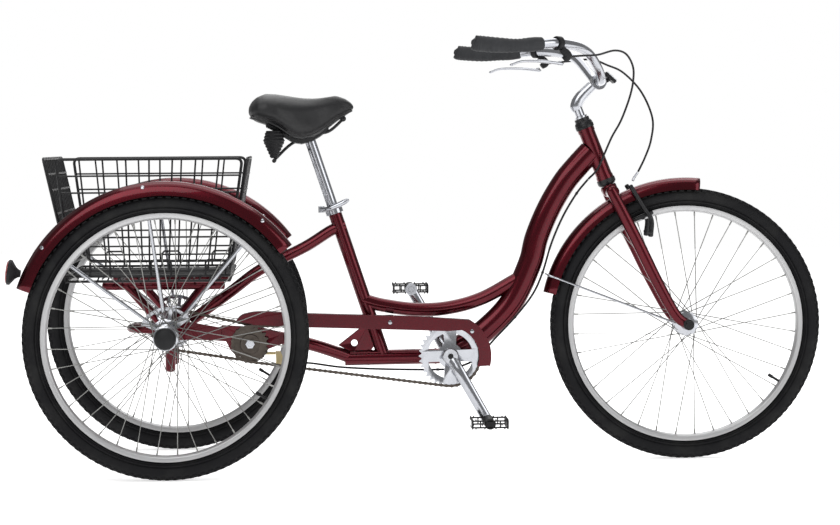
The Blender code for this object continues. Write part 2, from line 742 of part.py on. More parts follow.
def make_stem_and_bar(looks):
    quill = rod("quill", steer(0.1605), steer(0.190), 0.0112, 12)
    neck_route = [
        steer(0.180),
        point(0.358, 0.855),
        point(0.368, 0.876),
        point(0.396, 0.904),
    ]
    neck = sweep(
        "neck",
        smooth_path(neck_route, 2),
        [0.0125, 0.0140, 0.0145, 0.0145, 0.0140, 0.0130, 0.0125],
        8,
    )
    clamp = rod("clamp", CLAMP - SIDEWAYS * 0.021, CLAMP + SIDEWAYS * 0.021, 0.0185, 14)
    stem = fuse(quill, neck, clamp)
    carve(stem, rod("bore", CLAMP - SIDEWAYS * 0.03, CLAMP + SIDEWAYS * 0.03, 0.0130, 14))
    finish(stem, "stem", looks["steel"], HEAD_LOW.copy())
    half = [
        point(0.412, 0.913, 0.0),
        point(0.412, 0.913, 0.030),
        point(0.411, 0.918, 0.070),
        point(0.397, 0.943, 0.118),
        point(0.373, 0.974, 0.160),
        point(0.341, 0.990, 0.215),
        point(0.287, 0.996, 0.285),
        point(0.240, 0.994, 0.312),
        point(0.175, 0.990, 0.328),
        point(0.100, 0.995, 0.334),
    ]
    right = [Vector((p.x, -p.y, p.z)) for p in half[1:]]
    route = smooth_path(right[::-1] + half, 2)
    finish(sweep("bar", route, 0.0116, 8, side=UP), "handlebar", looks["steel"], HEAD_LOW.copy())
    grip_route = [point(0.247, 0.9945, 0.3092), *half[-2:], point(0.085, 0.998, 0.335)]
    outer = sweep(
        "grip",
        smooth_path(grip_route, 2),
        [0.0135, 0.0155, 0.0165, 0.0165, 0.0170, 0.0165, 0.0110],
        8,
        side=UP,
    )
    carve(outer, sweep("core", smooth_path([half[-4], *half[-3:]], 2), 0.0122, 8, side=UP))
    grip = finish(outer, "left_grip", looks["grip"])
    mirrored(grip, "right_grip")
    for name, side in (("left", 1), ("right", -1)):
        make_brake_lever(name, side, looks)
    reflector = plate("body", [(0.424, 0.931), (0.449, 0.909), (0.456, 0.917), (0.432, 0.940)], -0.028, 0.028)
    bracket = sweep("bracket", [point(0.4345, 0.9175), point(0.4405, 0.9215)], 0.0050, 6)
    finish(fuse(reflector, bracket), "front_reflector", looks["lens"], HEAD_LOW.copy())


def make_brake_lever(name, side, looks):
    """A clamp bracket under the bar and its lever, which turns on a pin below the bar."""
    along = Vector((-0.728, side * 0.686, 0.02)).normalized()
    middle = point(0.287, 0.996, side * 0.285)
    ring = revolve(
        "ring",
        [(0.0128, -0.007), (0.0165, -0.007), (0.0165, 0.007), (0.0128, 0.007)],
        middle,
        along,
        12,
    )
    body_route = [
        point(0.295, 0.9825, side * 0.284),
        point(0.310, 0.968, side * 0.282),
        point(0.300, 0.958, side * 0.280),
    ]
    body = sweep("body", body_route, [0.0090, 0.0100, 0.0070], 8)
    bracket = fuse(ring, body)
    carve(bracket, rod("bore", middle - along * 0.03, middle + along * 0.03, 0.0128, 12))
    finish(bracket, name + "_lever_bracket", looks["plastic"])
    pivot = point(0.291, 0.9490, side * 0.285)
    lever_route = [
        pivot + Vector((0.004, 0, 0.0)),
        point(0.250, 0.954, side * 0.305),
        point(0.200, 0.954, side * 0.322),
        point(0.175, 0.946, side * 0.330),
    ]
    radii = [0.0065, 0.0062, 0.0060, 0.0056, 0.0052, 0.0050, 0.0050]
    lever = sweep("lever", smooth_path(lever_route, 2), radii, 8, side=UP, flatten=0.7)
    finish(lever, name + "_brake_lever", looks["steel"], pivot)


def make_front_brake(looks):
    for name, side in (("right", -1), ("left", 1)):
        pivot = point(0.5280, 0.5500, side * 0.0400)
        route = [
            pivot + Vector((0.004, side * 0.001, -0.008)),
            pivot + Vector((0.006, -side * 0.001, 0.030)),
            pivot + Vector((-0.012, -side * 0.002, 0.060)),
            point(0.484, 0.662, side * 0.0390),
        ]
        arm = sweep("arm", smooth_path(route, 2), 0.0058, 6)
        finish(arm, name + "_brake_arm", looks["black"], pivot)


# Fenders


def fender(name, centre, radius, start, end, half, drop, steps, look, origin=None):
    """A rolled sheet round a wheel, crowned across its width, from one angle to another in degrees."""
    thickness = 0.0014
    shares = (-1.0, -0.80, -0.30, 0.30, 0.80, 1.0)
    drops = (1.0, 0.36, 0.03, 0.03, 0.36, 1.0)
    section = [(share * half, -fall * drop) for share, fall in zip(shares, drops)]
    inside = [(share * (half - thickness), -fall * drop - thickness * (fall < 0.9)) for share, fall in zip(shares, drops)]
    rings = []
    for i in range(steps + 1):
        turn = math.radians(start + (end - start) * i / steps)
        outward = Vector((math.cos(turn), 0, math.sin(turn)))
        rings.append([centre + SIDEWAYS * y + outward * (radius + rise) for y, rise in section + inside[::-1]])
    bm = bmesh.new()
    skin(bm, rings)
    return finish(object_from(bm, name), name, look, origin)


def on_wheel(centre, radius, degrees, y):
    turn = math.radians(degrees)
    return Vector((centre.x + radius * math.cos(turn), y, centre.z + radius * math.sin(turn)))


def make_front_fender(looks):
    fender("front_fender", FRONT_AXLE, 0.3515, 84, 167, 0.030, 0.016, 10, looks["paint"], HEAD_LOW.copy())
    stays = []
    for side in (-1, 1):
        low = point(0.592, 0.3300, side * 0.0410)
        stays.append(rod("stay", low, on_wheel(FRONT_AXLE, 0.3330, 160.2, side * 0.0334), 0.0022, 6))
    bow = []
    for y, radius in ((-0.0330, 0.3290), (-0.0350, 0.344), (-0.0240, 0.3570), (0.0240, 0.3570), (0.0350, 0.344), (0.0330, 0.3290)):
        bow.append(on_wheel(FRONT_AXLE, radius, 160.2, y))
    stays.append(sweep("bow", bow, 0.0026, 6, side=Vector((1, 0, 0.3))))
    finish(fuse(*stays), "front_fender_stay", looks["steel"], HEAD_LOW.copy())


def make_rear_fenders(looks):
    for name, side in (("left", 1), ("right", -1)):
        centre = REAR_AXLE + SIDEWAYS * side * HALF_TRACK
        fender(name + "_fender", centre, 0.3570, 36, 161, 0.0315, 0.0215, 14, looks["paint"])
        inboard = side * 0.2685
        axle = (REAR_X, WHEEL_RADIUS)
        outline = arc_points(axle, 0.066, 36, 157, 6) + arc_points(axle, 0.024, 157, 36, 3)
        sector = plate("sector", outline, inboard - 0.0015, inboard + 0.0015)
        windows = []
        for middle in (74, 120):
            hole = arc_points(
                axle,
                0.050,
                middle - 13,
                middle + 13,
                2,
            ) + arc_points(axle, 0.036, middle + 12, middle - 12, 1)
            windows.append(plate("window", hole, inboard - 0.01, inboard + 0.01))
        ring = revolve(
            "ring",
            [(0.0095, -0.0015), (0.0270, -0.0015), (0.0270, 0.0015), (0.0095, 0.0015)],
            REAR_AXLE + SIDEWAYS * inboard,
            SIDEWAYS,
            12,
        )
        bracket = fuse(sector, ring)
        carve(bracket, *windows)
        stays = []
        for degrees in (50, 98, 143):
            foot = on_wheel(REAR_AXLE, 0.058, degrees, inboard + side * 0.0030)
            head = on_wheel(REAR_AXLE, 0.342, degrees, side * 0.2935)
            stays.append(rod("stay", foot, head, 0.0044, 6))
        finish(fuse(bracket, *stays), name + "_fender_bracket", looks["steel"])
        tail = on_wheel(centre, 0.3590, 155.5, centre.y)
        out = Vector((math.cos(math.radians(172)), 0, math.sin(math.radians(172))))
        cone = [(0.0080, 0.0020), (0.0120, 0.0120), (0.0290, 0.0240), (0.0290, 0.0310), (0.0240, 0.0345)]
        finish(lathe("housing", cone, tail, out, 14), name + "_tail_reflector", looks["red_lens"])


# Seat


def make_seat(looks):
    base = SEAT_TUBE_HIGH
    collar = revolve(
        "collar",
        [(0.0168, -0.021), (0.0210, -0.021), (0.0210, 0.0), (0.0168, 0.0)],
        base,
        SEAT_UP,
        16,
    )
    lug = slab("lug", (-0.266, -0.009, 0.603), (-0.2512, 0.009, 0.618))
    clamp = carve(
        fuse(collar, lug),
        rod("pin", point(-0.257, 0.6105, -0.02), point(-0.257, 0.6105, 0.02), 0.0033, 10),
    )
    finish(clamp, "seat_clamp", looks["steel"])
    pin = rod("pin", point(-0.257, 0.6105, -0.0165), point(-0.257, 0.6105, 0.012), 0.0028, 8)
    handle_route = [
        point(-0.257, 0.6105, -0.0165),
        point(-0.240, 0.6130, -0.0285),
        point(-0.215, 0.6230, -0.0310),
        point(-0.196, 0.6330, -0.0300),
    ]
    handle = sweep(
        "handle",
        smooth_path(handle_route, 2),
        [0.0060, 0.0058, 0.0055, 0.0060, 0.0064, 0.0064, 0.0050],
        8,
    )
    finish(fuse(handle, pin), "seat_clamp_lever", looks["steel"], point(-0.257, 0.6105))
    post = rod(
        "post",
        base - SEAT_UP * SEAT_POST_BELOW,
        base + SEAT_UP * SEAT_POST_ABOVE,
        SEAT_POST_RADIUS,
        16,
    )
    finish(post, "seat_post", looks["steel"], base.copy())
    top = base + SEAT_UP * (SEAT_POST_ABOVE + GAP)
    clamp_block = rod("block", top, top + SEAT_UP * 0.014, 0.017, 12)
    cross = rod(
        "cross",
        top + SEAT_UP * 0.014 - SIDEWAYS * 0.024,
        top + SEAT_UP * 0.014 + SIDEWAYS * 0.024,
        0.012,
        12,
    )
    rails = []
    for side in (-1, 1):
        rail_route = [
            point(-0.205, 0.8270, side * 0.012),
            point(-0.240, 0.7980, side * 0.020),
            Vector((top.x + 0.003, side * 0.022, top.z + 0.0140)),
            point(-0.330, 0.7680, side * 0.034),
            point(-0.371, 0.7300, side * 0.044),
        ]
        rails.append(sweep("rail", smooth_path(rail_route, 2), 0.0042, 6))
    yoke = rod("yoke", point(-0.371, 0.7285, -0.080), point(-0.371, 0.7285, 0.080), 0.0055, 8)
    nose = rod("nose", point(-0.205, 0.8280, -0.018), point(-0.205, 0.8280, 0.018), 0.0075, 8)
    pad, pan = saddle_shapes()
    finish(pad, "saddle_pad", looks["vinyl"], base.copy())
    finish(fuse(clamp_block, cross, *rails, yoke, nose, pan), "saddle_frame", looks["black"], base.copy())
    for name, side in (("left", 1), ("right", -1)):
        boot = [(0.0120, 0.0063), (0.0130, 0.012), (0.0180, 0.028), (0.0205, 0.046), (0.0235, 0.0720)]
        foot = point(-0.371, 0.7285, side * 0.070)
        finish(lathe("boot", boot, foot, UP, 10), name + "_saddle_spring", looks["black"], foot)


def saddle_shapes():
    """A closed crowned pad whose outline widens from nose to tail, and the shallow pan under it."""
    stations = (
        (-0.176, 0.010, 0.857, 0.842),
        (-0.190, 0.024, 0.873, 0.834),
        (-0.215, 0.032, 0.882, 0.831),
        (-0.255, 0.046, 0.876, 0.820),
        (-0.300, 0.078, 0.876, 0.808),
        (-0.345, 0.108, 0.883, 0.802),
        (-0.390, 0.122, 0.888, 0.806),
        (-0.420, 0.112, 0.875, 0.816),
        (-0.434, 0.080, 0.850, 0.828),
    )
    pad_rings, pan_rings = [], []
    for x, half, high, low in stations:
        middle = (high + low) / 2
        shape = (
            (1.0, 0.35),
            (0.93, 0.80),
            (0.55, 1.0),
            (-0.55, 1.0),
            (-0.93, 0.80),
            (-1.0, 0.35),
            (-0.93, -0.2),
            (0.93, -0.2),
        )
        pad_rings.append([Vector((x, half * a, middle + (high - middle) * b)) for a, b in shape])
        under = middle - (high - middle) * 0.2 - GAP
        if -0.43 < x < -0.18:
            pan = ((0.88, under), (-0.88, under), (-0.80, low), (0.80, low))
            pan_rings.append([Vector((x, half * a, z)) for a, z in pan])
    made = []
    for rings in (pad_rings, pan_rings):
        bm = bmesh.new()
        skin(bm, rings)
        made.append(object_from(bm, "saddle"))
    return made


# Basket


def wire_panel(name, corners, uprights, levels, wire, look, origin=None):
    """A flat grid of square wires inside four corners: bottom start, bottom end, top end, top start."""
    low_start, low_end, high_end, high_start = corners
    normal = (low_end - low_start).cross(high_start - low_start).normalized()
    pieces = []

    def at(share, level):
        low = low_start.lerp(low_end, share)
        return low.lerp(high_start.lerp(high_end, share), level)

    rim = [at(0, 0), at(1, 0), at(1, 1), at(0, 1)]
    rounded = []
    for i, corner in enumerate(rim):
        to_last = (rim[i - 1] - corner).normalized() * 0.016
        to_next = (rim[(i + 1) % 4] - corner).normalized() * 0.016
        rounded += [corner + to_last, corner + (to_last + to_next) * 0.29, corner + to_next]
    pieces.append(sweep("rim", rounded, 0.0034, 4, side=normal, closed=True))
    for i in range(1, uprights):
        share = i / uprights
        pieces.append(sweep("upright", [at(share, 0), at(share, 1)], wire, 4, side=normal))
    for level in levels:
        pieces.append(sweep("level", [at(0, level), at(1, level)], wire, 4, side=normal))
    return finish(fuse(*pieces), name, look, origin)


def make_basket(looks):
    look = looks["black"]
    side_y = BASKET_HALF_WIDTH
    for name, side in (("left", 1), ("right", -1)):
        corners = (
            point(-0.838, 0.4785, side * side_y),
            point(-0.480, 0.4785, side * side_y),
            point(-0.443, BASKET_TOP, side * side_y),
            point(-0.872, BASKET_TOP, side * side_y),
        )
        wire_panel(name + "_basket_panel", corners, 6, (0.29, 0.86), 0.0019, look)
    width = side_y - 0.008
    front_hinge = point(-0.474, 0.4790)
    corners = (
        point(-0.474, 0.4790, -width),
        point(-0.474, 0.4790, width),
        point(-0.431, BASKET_TOP, width),
        point(-0.431, BASKET_TOP, -width),
    )
    wire_panel("front_basket_panel", corners, 8, (0.86,), 0.0019, look, front_hinge)
    rear_hinge = point(-0.846, 0.4930)
    corners = (
        point(-0.846, 0.4930, -width),
        point(-0.846, 0.4930, width),
        point(-0.901, 0.7380, width),
        point(-0.901, 0.7380, -width),
    )
    wire_panel("rear_basket_panel", corners, 8, (0.86,), 0.0019, look, rear_hinge)
    floor = []
    for x in (-0.852, -0.474):
        floor.append(slab("edge", (x - 0.0055, -side_y, BASKET_FLOOR), (x + 0.0055, side_y, 0.4700)))
    for y in (-side_y, side_y):
        floor.append(slab("edge", (-0.8575, y - 0.004, BASKET_FLOOR), (-0.4685, y + 0.004, 0.4700)))
    for i in range(1, 7):
        x = -0.852 + 0.378 * i / 7
        floor.append(rod("slat", point(x, 0.4600, -side_y), point(x, 0.4600, side_y), 0.0020, 4))
    finish(fuse(*floor), "basket_floor", look)


# Brake cables and the rear band brake


def make_band_brake(looks):
    centre = JACKSHAFT
    outline = arc_points(
        (centre.x, centre.z),
        0.0415,
        -20,
        320,
        14,
    ) + arc_points((centre.x, centre.z), 0.0350, 320, -20, 14)
    band = plate("band", outline, -0.0110, 0.0110)
    tail = slab("tail", (-0.405, -0.0100, 0.2620), (-0.372, 0.0100, 0.2680))
    finish(fuse(band, tail), "brake_band", looks["zinc"])
    pivot = point(-0.366, 0.2620)
    arm = plate(
        "arm",
        [(-0.371, 0.236), (-0.350, 0.236), (-0.350, 0.244), (-0.360, 0.2690), (-0.372, 0.2690)],
        0.0120,
        0.0150,
    )
    finish(arm, "band_brake_arm", looks["zinc"], pivot)


def cable(name, points, look, radius=0.0025, steps=3):
    """A held cable: a curve with a round bevel, a point every few diameters, and flat ends."""
    path = smooth_path(points, steps)
    curve = bpy.data.curves.new(name, "CURVE")
    curve.dimensions = "3D"
    curve.bevel_depth = radius
    curve.bevel_resolution = 0
    curve.use_fill_caps = True
    spline = curve.splines.new("POLY")
    spline.points.add(len(path) - 1)
    for slot, place in zip(spline.points, path):
        slot.co = (*place, 1)
    curve.materials.append(look)
    made = bpy.data.objects.new(name, curve)
    bpy.context.scene.collection.objects.link(made)
    return made


def make_cables(looks):
    cable(
        "front_brake_cable",
        [
            point(0.317, 0.9660, 0.272),
            point(0.368, 0.9700, 0.225),
            point(0.414, 0.9720, 0.168),
            point(0.448, 0.9570, 0.128),
            point(0.483, 0.9370, 0.088),
            point(0.522, 0.8890, 0.048),
            point(0.545, 0.8250, 0.018),
            point(0.539, 0.7720, 0.000),
            point(0.523, 0.7300, -0.010),
            point(0.505, 0.6960, -0.020),
            point(0.490, 0.6740, -0.0300),
        ],
        looks["plastic"],
    )
    cable(
        "rear_brake_cable_loop",
        [
            point(0.317, 0.9660, -0.272),
            point(0.352, 0.9690, -0.238),
            point(0.389, 0.9720, -0.200),
            point(0.436, 0.9840, -0.130),
            point(0.468, 0.9770, -0.090),
            point(0.488, 0.9490, -0.060),
            point(0.491, 0.9160, -0.044),
            point(0.484, 0.8760, -0.032),
            point(0.464, 0.8210, -0.026),
            point(0.441, 0.7800, -0.026),
            point(0.423, 0.7400, -0.027),
            point(0.405, 0.7020, -0.029),
            point(0.383, 0.6790, -0.030),
        ],
        looks["plastic"],
    )
    cable(
        "rear_brake_cable_run",
        [
            point(0.3823, 0.6784, -0.030),
            point(0.355, 0.6450, -0.0290),
            point(0.322, 0.5900, -0.0270),
            point(0.294, 0.5250, -0.0240),
            point(0.272, 0.4550, -0.0270),
            point(0.248, 0.4030, -0.0270),
            point(0.205, 0.3480, -0.0270),
            point(0.150, 0.2900, -0.0270),
            point(0.115, 0.2500, -0.0280),
            point(0.060, 0.2270, -0.0280),
            point(0.018, 0.2230, -0.0220),
            point(-0.100, 0.2240, -0.0100),
            point(-0.210, 0.2290, 0.0000),
            point(-0.290, 0.2390, 0.0135),
            point(-0.3490, 0.2400, 0.0200),
        ],
        looks["plastic"],
    )


def main():
    clear_scene()
    looks = make_materials()
    make_frame(looks)
    make_rear_frame(looks)
    make_wheels(looks)
    make_drive(looks)
    make_chain_guard(looks)
    make_steering(looks)
    make_rear_fenders(looks)
    make_seat(looks)
    make_basket(looks)
    make_band_brake(looks)
    make_cables(looks)


main()
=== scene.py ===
"""Adult tricycle: a red three-wheeled pedal cycle with a wire basket, laid out as an add-on."""

import json
import math

import bmesh
import bpy
from mathutils import Matrix, Vector


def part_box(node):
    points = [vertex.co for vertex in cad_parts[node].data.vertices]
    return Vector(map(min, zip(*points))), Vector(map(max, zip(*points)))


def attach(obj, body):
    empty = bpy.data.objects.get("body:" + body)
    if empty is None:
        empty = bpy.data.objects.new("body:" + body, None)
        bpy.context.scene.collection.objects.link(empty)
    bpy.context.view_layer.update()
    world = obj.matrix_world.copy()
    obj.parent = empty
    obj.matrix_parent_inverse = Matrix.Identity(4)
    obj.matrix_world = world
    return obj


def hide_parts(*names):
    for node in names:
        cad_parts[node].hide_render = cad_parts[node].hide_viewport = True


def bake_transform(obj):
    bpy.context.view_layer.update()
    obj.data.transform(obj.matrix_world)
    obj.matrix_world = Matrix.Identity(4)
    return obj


bl_info = {
    "name": "Adult tricycle",
    "version": (1, 0, 0),
    "blender": (4, 5, 0),
    "location": "3D View > Sidebar > Tricycle",
    "description": "Builds the visible pieces of an adult tricycle around its packed frame",
    "category": "Add Mesh",
}

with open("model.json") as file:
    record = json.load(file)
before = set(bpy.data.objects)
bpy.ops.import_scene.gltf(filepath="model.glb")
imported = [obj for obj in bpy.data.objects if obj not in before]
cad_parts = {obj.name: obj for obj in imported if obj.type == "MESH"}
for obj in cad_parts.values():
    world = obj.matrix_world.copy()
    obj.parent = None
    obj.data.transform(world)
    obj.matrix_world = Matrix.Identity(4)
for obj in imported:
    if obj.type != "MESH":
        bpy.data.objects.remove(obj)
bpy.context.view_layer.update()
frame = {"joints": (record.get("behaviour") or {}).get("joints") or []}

SIDEWAYS = Vector((0, 1, 0))
UP = Vector((0, 0, 1))
FORWARD = Vector((1, 0, 0))


def joint_place(name):
    """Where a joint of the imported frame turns."""
    for joint in frame["joints"]:
        if joint["name"] == name:
            return Vector(joint["pos_m"])
    raise RuntimeError("no joint called " + name)


def middle_of(node):
    low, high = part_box(node)
    return (Vector(low) + Vector(high)) / 2


FRONT_AXLE = joint_place("front_wheel_spin")
REAR_AXLE = joint_place("axle_spin")
BRACKET = joint_place("crank_spin")
JACKSHAFT = joint_place("jackshaft_spin")
JACKSHAFT.y = 0
HEAD_LOW = joint_place("steer")
STEER_UP = Vector(next(j["axis"] for j in frame["joints"] if j["name"] == "steer")).normalized()
SEAT_UP = Vector(next(j["axis"] for j in frame["joints"] if j["name"] == "seat_height")).normalized()
HALF_TRACK = middle_of("left_tyre").y
WHEEL_RADIUS = REAR_AXLE.z
CHAIN_PITCH = 0.0127
SIDES = (("left", 1), ("right", -1))


# Sizes and colours that a user would change


class TricycleSizes(bpy.types.PropertyGroup):
    spokes: bpy.props.IntProperty(name="Spokes", description="Spokes in each wheel", default=36, min=12)
    wheel_steps: bpy.props.IntProperty(
        name="Wheel steps", description="Segments round a wheel", default=128, min=24
    )
    tread_blocks: bpy.props.IntProperty(
        name="Tread blocks", description="Blocks in a tread row", default=110, min=20
    )
    wire: bpy.props.FloatProperty(
        name="Basket wire", description="Radius of a basket wire", default=0.0021, unit="LENGTH"
    )
    pad_softness: bpy.props.FloatProperty(
        name="Pad swell", description="How far the saddle cover swells", default=0.003, unit="LENGTH"
    )


class TricycleColours(bpy.types.PropertyGroup):
    paint: bpy.props.FloatVectorProperty(
        name="Paint", description="Candy paint of the frame", subtype="COLOR", default=(0.165, 0.0028, 0.0115)
    )
    paint_shade: bpy.props.FloatVectorProperty(
        name="Paint shade", description="Deeper tone inside the paint", subtype="COLOR", default=(
            0.06, 0.001, 0.0055,
        )
    )
    steel: bpy.props.FloatVectorProperty(
        name="Steel", description="Plated steel", subtype="COLOR", default=(0.52, 0.53, 0.56)
    )
    rim: bpy.props.FloatVectorProperty(
        name="Rim", description="Satin rims", subtype="COLOR", default=(0.5, 0.5, 0.5)
    )
    chain: bpy.props.FloatVectorProperty(
        name="Chain", description="Oiled chain", subtype="COLOR", default=(0.13, 0.11, 0.095)
    )


def sizes():
    return bpy.context.scene.tricycle_sizes


def colours():
    return bpy.context.scene.tricycle_colours


# Shader maths


class Wire:
    """A shader socket that adds Math nodes when it is used in an expression."""

    def __init__(self, shop, socket):
        self.shop = shop
        self.socket = socket

    def combine(self, operation, first, second):
        return self.shop.node("ShaderNodeMath", {"operation": operation}, {0: first, 1: second})

    def __add__(self, other):
        return self.combine("ADD", self, other)

    def __mul__(self, other):
        return self.combine("MULTIPLY", self, other)

    def __sub__(self, other):
        return self.combine("SUBTRACT", self, other)

    def __rsub__(self, other):
        return self.combine("SUBTRACT", other, self)

    __radd__ = __add__
    __rmul__ = __mul__


MIX_FACTOR, MIX_FIRST, MIX_SECOND, MIX_RESULT = 0, 6, 7, 2


class Finish:
    """A material under construction: a Principled surface and one method that adds any other node."""

    def __init__(self, name, colour, roughness, metallic=0.0, coat=0.0, coat_roughness=0.05, shine=0.5):
        self.material = bpy.data.materials.new(name)
        self.material.use_nodes = True
        self.tree = self.material.node_tree
        self.surface = self.tree.nodes["Principled BSDF"]
        values = {
            "Base Color": (*colour, 1),
            "Roughness": roughness,
            "Metallic": metallic,
            "Coat Weight": coat,
            "Coat Roughness": coat_roughness,
            "Specular IOR Level": shine,
        }
        for socket, value in values.items():
            self.surface.inputs[socket].default_value = value
        self.material.diffuse_color = (*colour, 1)

    def node(self, kind, settings=None, sockets=None, output=0):
        made = self.tree.nodes.new(kind)
        for name, value in (settings or {}).items():
            setattr(made, name, value)
        for socket, value in (sockets or {}).items():
            if isinstance(value, Wire):
                self.tree.links.new(value.socket, made.inputs[socket])
            else:
                made.inputs[socket].default_value = value
        return Wire(self, made.outputs[output])

    def place(self):
        return self.node("ShaderNodeTexCoord", output="Object")

    def noise(self, scale, detail=2.0, roughness=0.5):
        sockets = {"Vector": self.place(), "Scale": scale, "Detail": detail, "Roughness": roughness}
        return self.node("ShaderNodeTexNoise", {}, sockets)

    def cells(self, scale, feature="F1"):
        sockets = {"Vector": self.place(), "Scale": scale}
        return self.node("ShaderNodeTexVoronoi", {"feature": feature}, sockets)

    def blend(self, factor, first, second):
        """A colour between two, by a mask."""
        made = self.tree.nodes.new("ShaderNodeMix")
        made.data_type = "RGBA"
        self.tree.links.new(factor.socket, made.inputs[MIX_FACTOR])
        made.inputs[MIX_FIRST].default_value = (*first, 1)
        made.inputs[MIX_SECOND].default_value = (*second, 1)
        return Wire(self, made.outputs[MIX_RESULT])

    def clamp(self, value, low, high, to_low=0.0, to_high=1.0):
        sockets = {0: value, 1: low, 2: high, 3: to_low, 4: to_high}
        return self.node("ShaderNodeMapRange", {"clamp": True}, sockets)

    def feed(self, socket, wire):
        self.tree.links.new(wire.socket, self.surface.inputs[socket])

    def bump(self, height, distance, strength=1.0):
        sockets = {"Height": height, "Distance": distance, "Strength": strength}
        self.feed("Normal", self.node("ShaderNodeBump", {}, sockets))


def candy_paint():
    made = Finish("candy_paint", colours().paint, 0.26, 0.92, 0.35, 0.04)
    flake = made.clamp(made.cells(2600), 0.1, 0.6)
    drift = made.noise(9, 3)
    made.feed("Base Color", made.blend(
        made.clamp(flake * 0.6 + drift * 0.5, 0.2, 0.8), colours().paint, colours().paint_shade,
    ))
    made.feed("Roughness", flake * 0.08 + 0.19)
    made.bump(made.noise(420, 2), 0.00004, 0.25)
    return made.material


def bright_steel():
    made = Finish("bright_steel", colours().steel, 0.16, 1.0)
    haze = made.noise(35, 5, 0.6)
    made.feed("Roughness", haze * 0.16 + 0.09)
    made.feed("Base Color", made.blend(haze, colours().steel, (0.36, 0.37, 0.4)))
    made.bump(made.noise(900, 2), 0.00002, 0.2)
    return made.material


def spoke_steel():
    made = Finish("spoke_steel", (0.26, 0.26, 0.25), 0.34, 0.85)
    haze = made.noise(60, 4, 0.6)
    made.feed("Roughness", haze * 0.2 + 0.24)
    made.feed("Base Color", made.blend(haze, (0.3, 0.3, 0.29), (0.2, 0.2, 0.19)))
    return made.material


def satin_alloy():
    made = Finish("satin_alloy", colours().rim, 0.38, 0.75)
    grain = made.noise(260, 4, 0.7)
    made.feed("Roughness", grain * 0.14 + 0.3)
    made.feed("Base Color", made.blend(made.noise(12, 3), colours().rim, (0.42, 0.42, 0.43)))
    made.bump(grain, 0.00003, 0.3)
    return made.material


def tyre_rubber():
    made = Finish("tyre_rubber", (0.01, 0.01, 0.011), 0.78, shine=0.14)
    dust = made.noise(14, 5, 0.6)
    made.feed("Base Color", made.blend(
        made.clamp(dust, 0.45, 0.75), (0.007, 0.007, 0.008), (0.018, 0.018, 0.018),
    ))
    made.feed("Roughness", dust * 0.2 + 0.62)
    made.bump(made.noise(700, 3), 0.00012, 0.5)
    return made.material


def grip_rubber():
    made = Finish("grip_rubber", (0.026, 0.027, 0.03), 0.66, shine=0.2)
    dots = made.clamp(made.cells(520), 0.1, 0.45)
    made.feed("Base Color", made.blend(made.noise(60, 3), (0.02, 0.021, 0.023), (0.036, 0.037, 0.04)))
    made.feed("Roughness", made.noise(90, 3) * 0.2 + 0.52)
    made.bump(dots, 0.00025, 0.5)
    return made.material


def saddle_vinyl():
    made = Finish("saddle_vinyl", (0.008, 0.008, 0.009), 0.42, 0.0, 0.1, 0.35, 0.3)
    grain = made.cells(640, "SMOOTH_F1")
    crease = made.noise(46, 4, 0.6)
    made.feed("Base Color", made.blend(crease, (0.006, 0.006, 0.007), (0.014, 0.014, 0.015)))
    made.feed("Roughness", grain * 0.22 + crease * 0.12 + 0.28)
    made.bump(grain * 0.7 + crease * 0.5, 0.00022, 0.55)
    return made.material


def black_enamel():
    made = Finish("black_enamel", (0.008, 0.008, 0.009), 0.34, 0.0, 0.12, 0.15, 0.25)
    wear = made.noise(120, 4, 0.6)
    made.feed("Roughness", wear * 0.2 + 0.26)
    made.feed("Base Color", made.blend(
        made.clamp(wear, 0.5, 0.9), (0.007, 0.007, 0.008), (0.018, 0.018, 0.019),
    ))
    made.bump(wear, 0.00003, 0.3)
    return made.material


def black_plastic():
    made = Finish("black_plastic", (0.01, 0.01, 0.011), 0.5, shine=0.2)
    grain = made.cells(1100)
    made.feed("Roughness", grain * 0.25 + 0.38)
    made.feed("Base Color", made.blend(made.noise(40, 3), (0.008, 0.008, 0.009), (0.016, 0.016, 0.017)))
    made.bump(grain, 0.00006, 0.4)
    return made.material


def chain_steel():
    made = Finish("chain_steel", colours().chain, 0.42, 0.9)
    oil = made.noise(85, 5, 0.65)
    made.feed("Base Color", made.blend(oil, colours().chain, (0.06, 0.05, 0.042)))
    made.feed("Roughness", oil * 0.3 + 0.25)
    return made.material


def yellow_zinc():
    made = Finish("yellow_zinc", (0.62, 0.47, 0.2), 0.32, 0.9)
    tint = made.noise(48, 4, 0.6)
    made.feed("Base Color", made.blend(tint, (0.66, 0.5, 0.2), (0.48, 0.44, 0.34)))
    made.feed("Roughness", tint * 0.2 + 0.24)
    return made.material


def moulded_lens(name, colour, shade, painted_glow):
    made = Finish(name, colour, 0.12, 0.0, 1.0, 0.03)
    prisms = made.cells(330)
    made.feed("Base Color", made.blend(made.clamp(prisms, 0.1, 0.6), colour, shade))
    # The lens glows faintly in its own colour: painted light, since a reflector is no lamp.
    made.surface.inputs["Emission Color"].default_value = (*colour, 1)
    made.surface.inputs["Emission Strength"].default_value = painted_glow
    made.bump(prisms, 0.0005, 0.6)
    return made.material


def pale_floor():
    """Pale near the object and white far from it, so that its edge doesn't show against the background."""
    made = Finish("pale_floor", (0.86, 0.86, 0.86), 0.9)
    made.feed("Base Color", made.blend(made.noise(3, 2), (0.86, 0.86, 0.86), (0.88, 0.88, 0.88)))
    reach = made.node("ShaderNodeVectorMath", {"operation": "LENGTH"}, {0: made.place()}, output="Value")
    near, far = (0.62, 0.62, 0.62), (1.0, 1.0, 1.0)
    made.feed("Emission Color", made.blend(made.clamp(reach, 1.2, 3.5), near, far))
    made.surface.inputs["Emission Strength"].default_value = 1.0
    return made.material


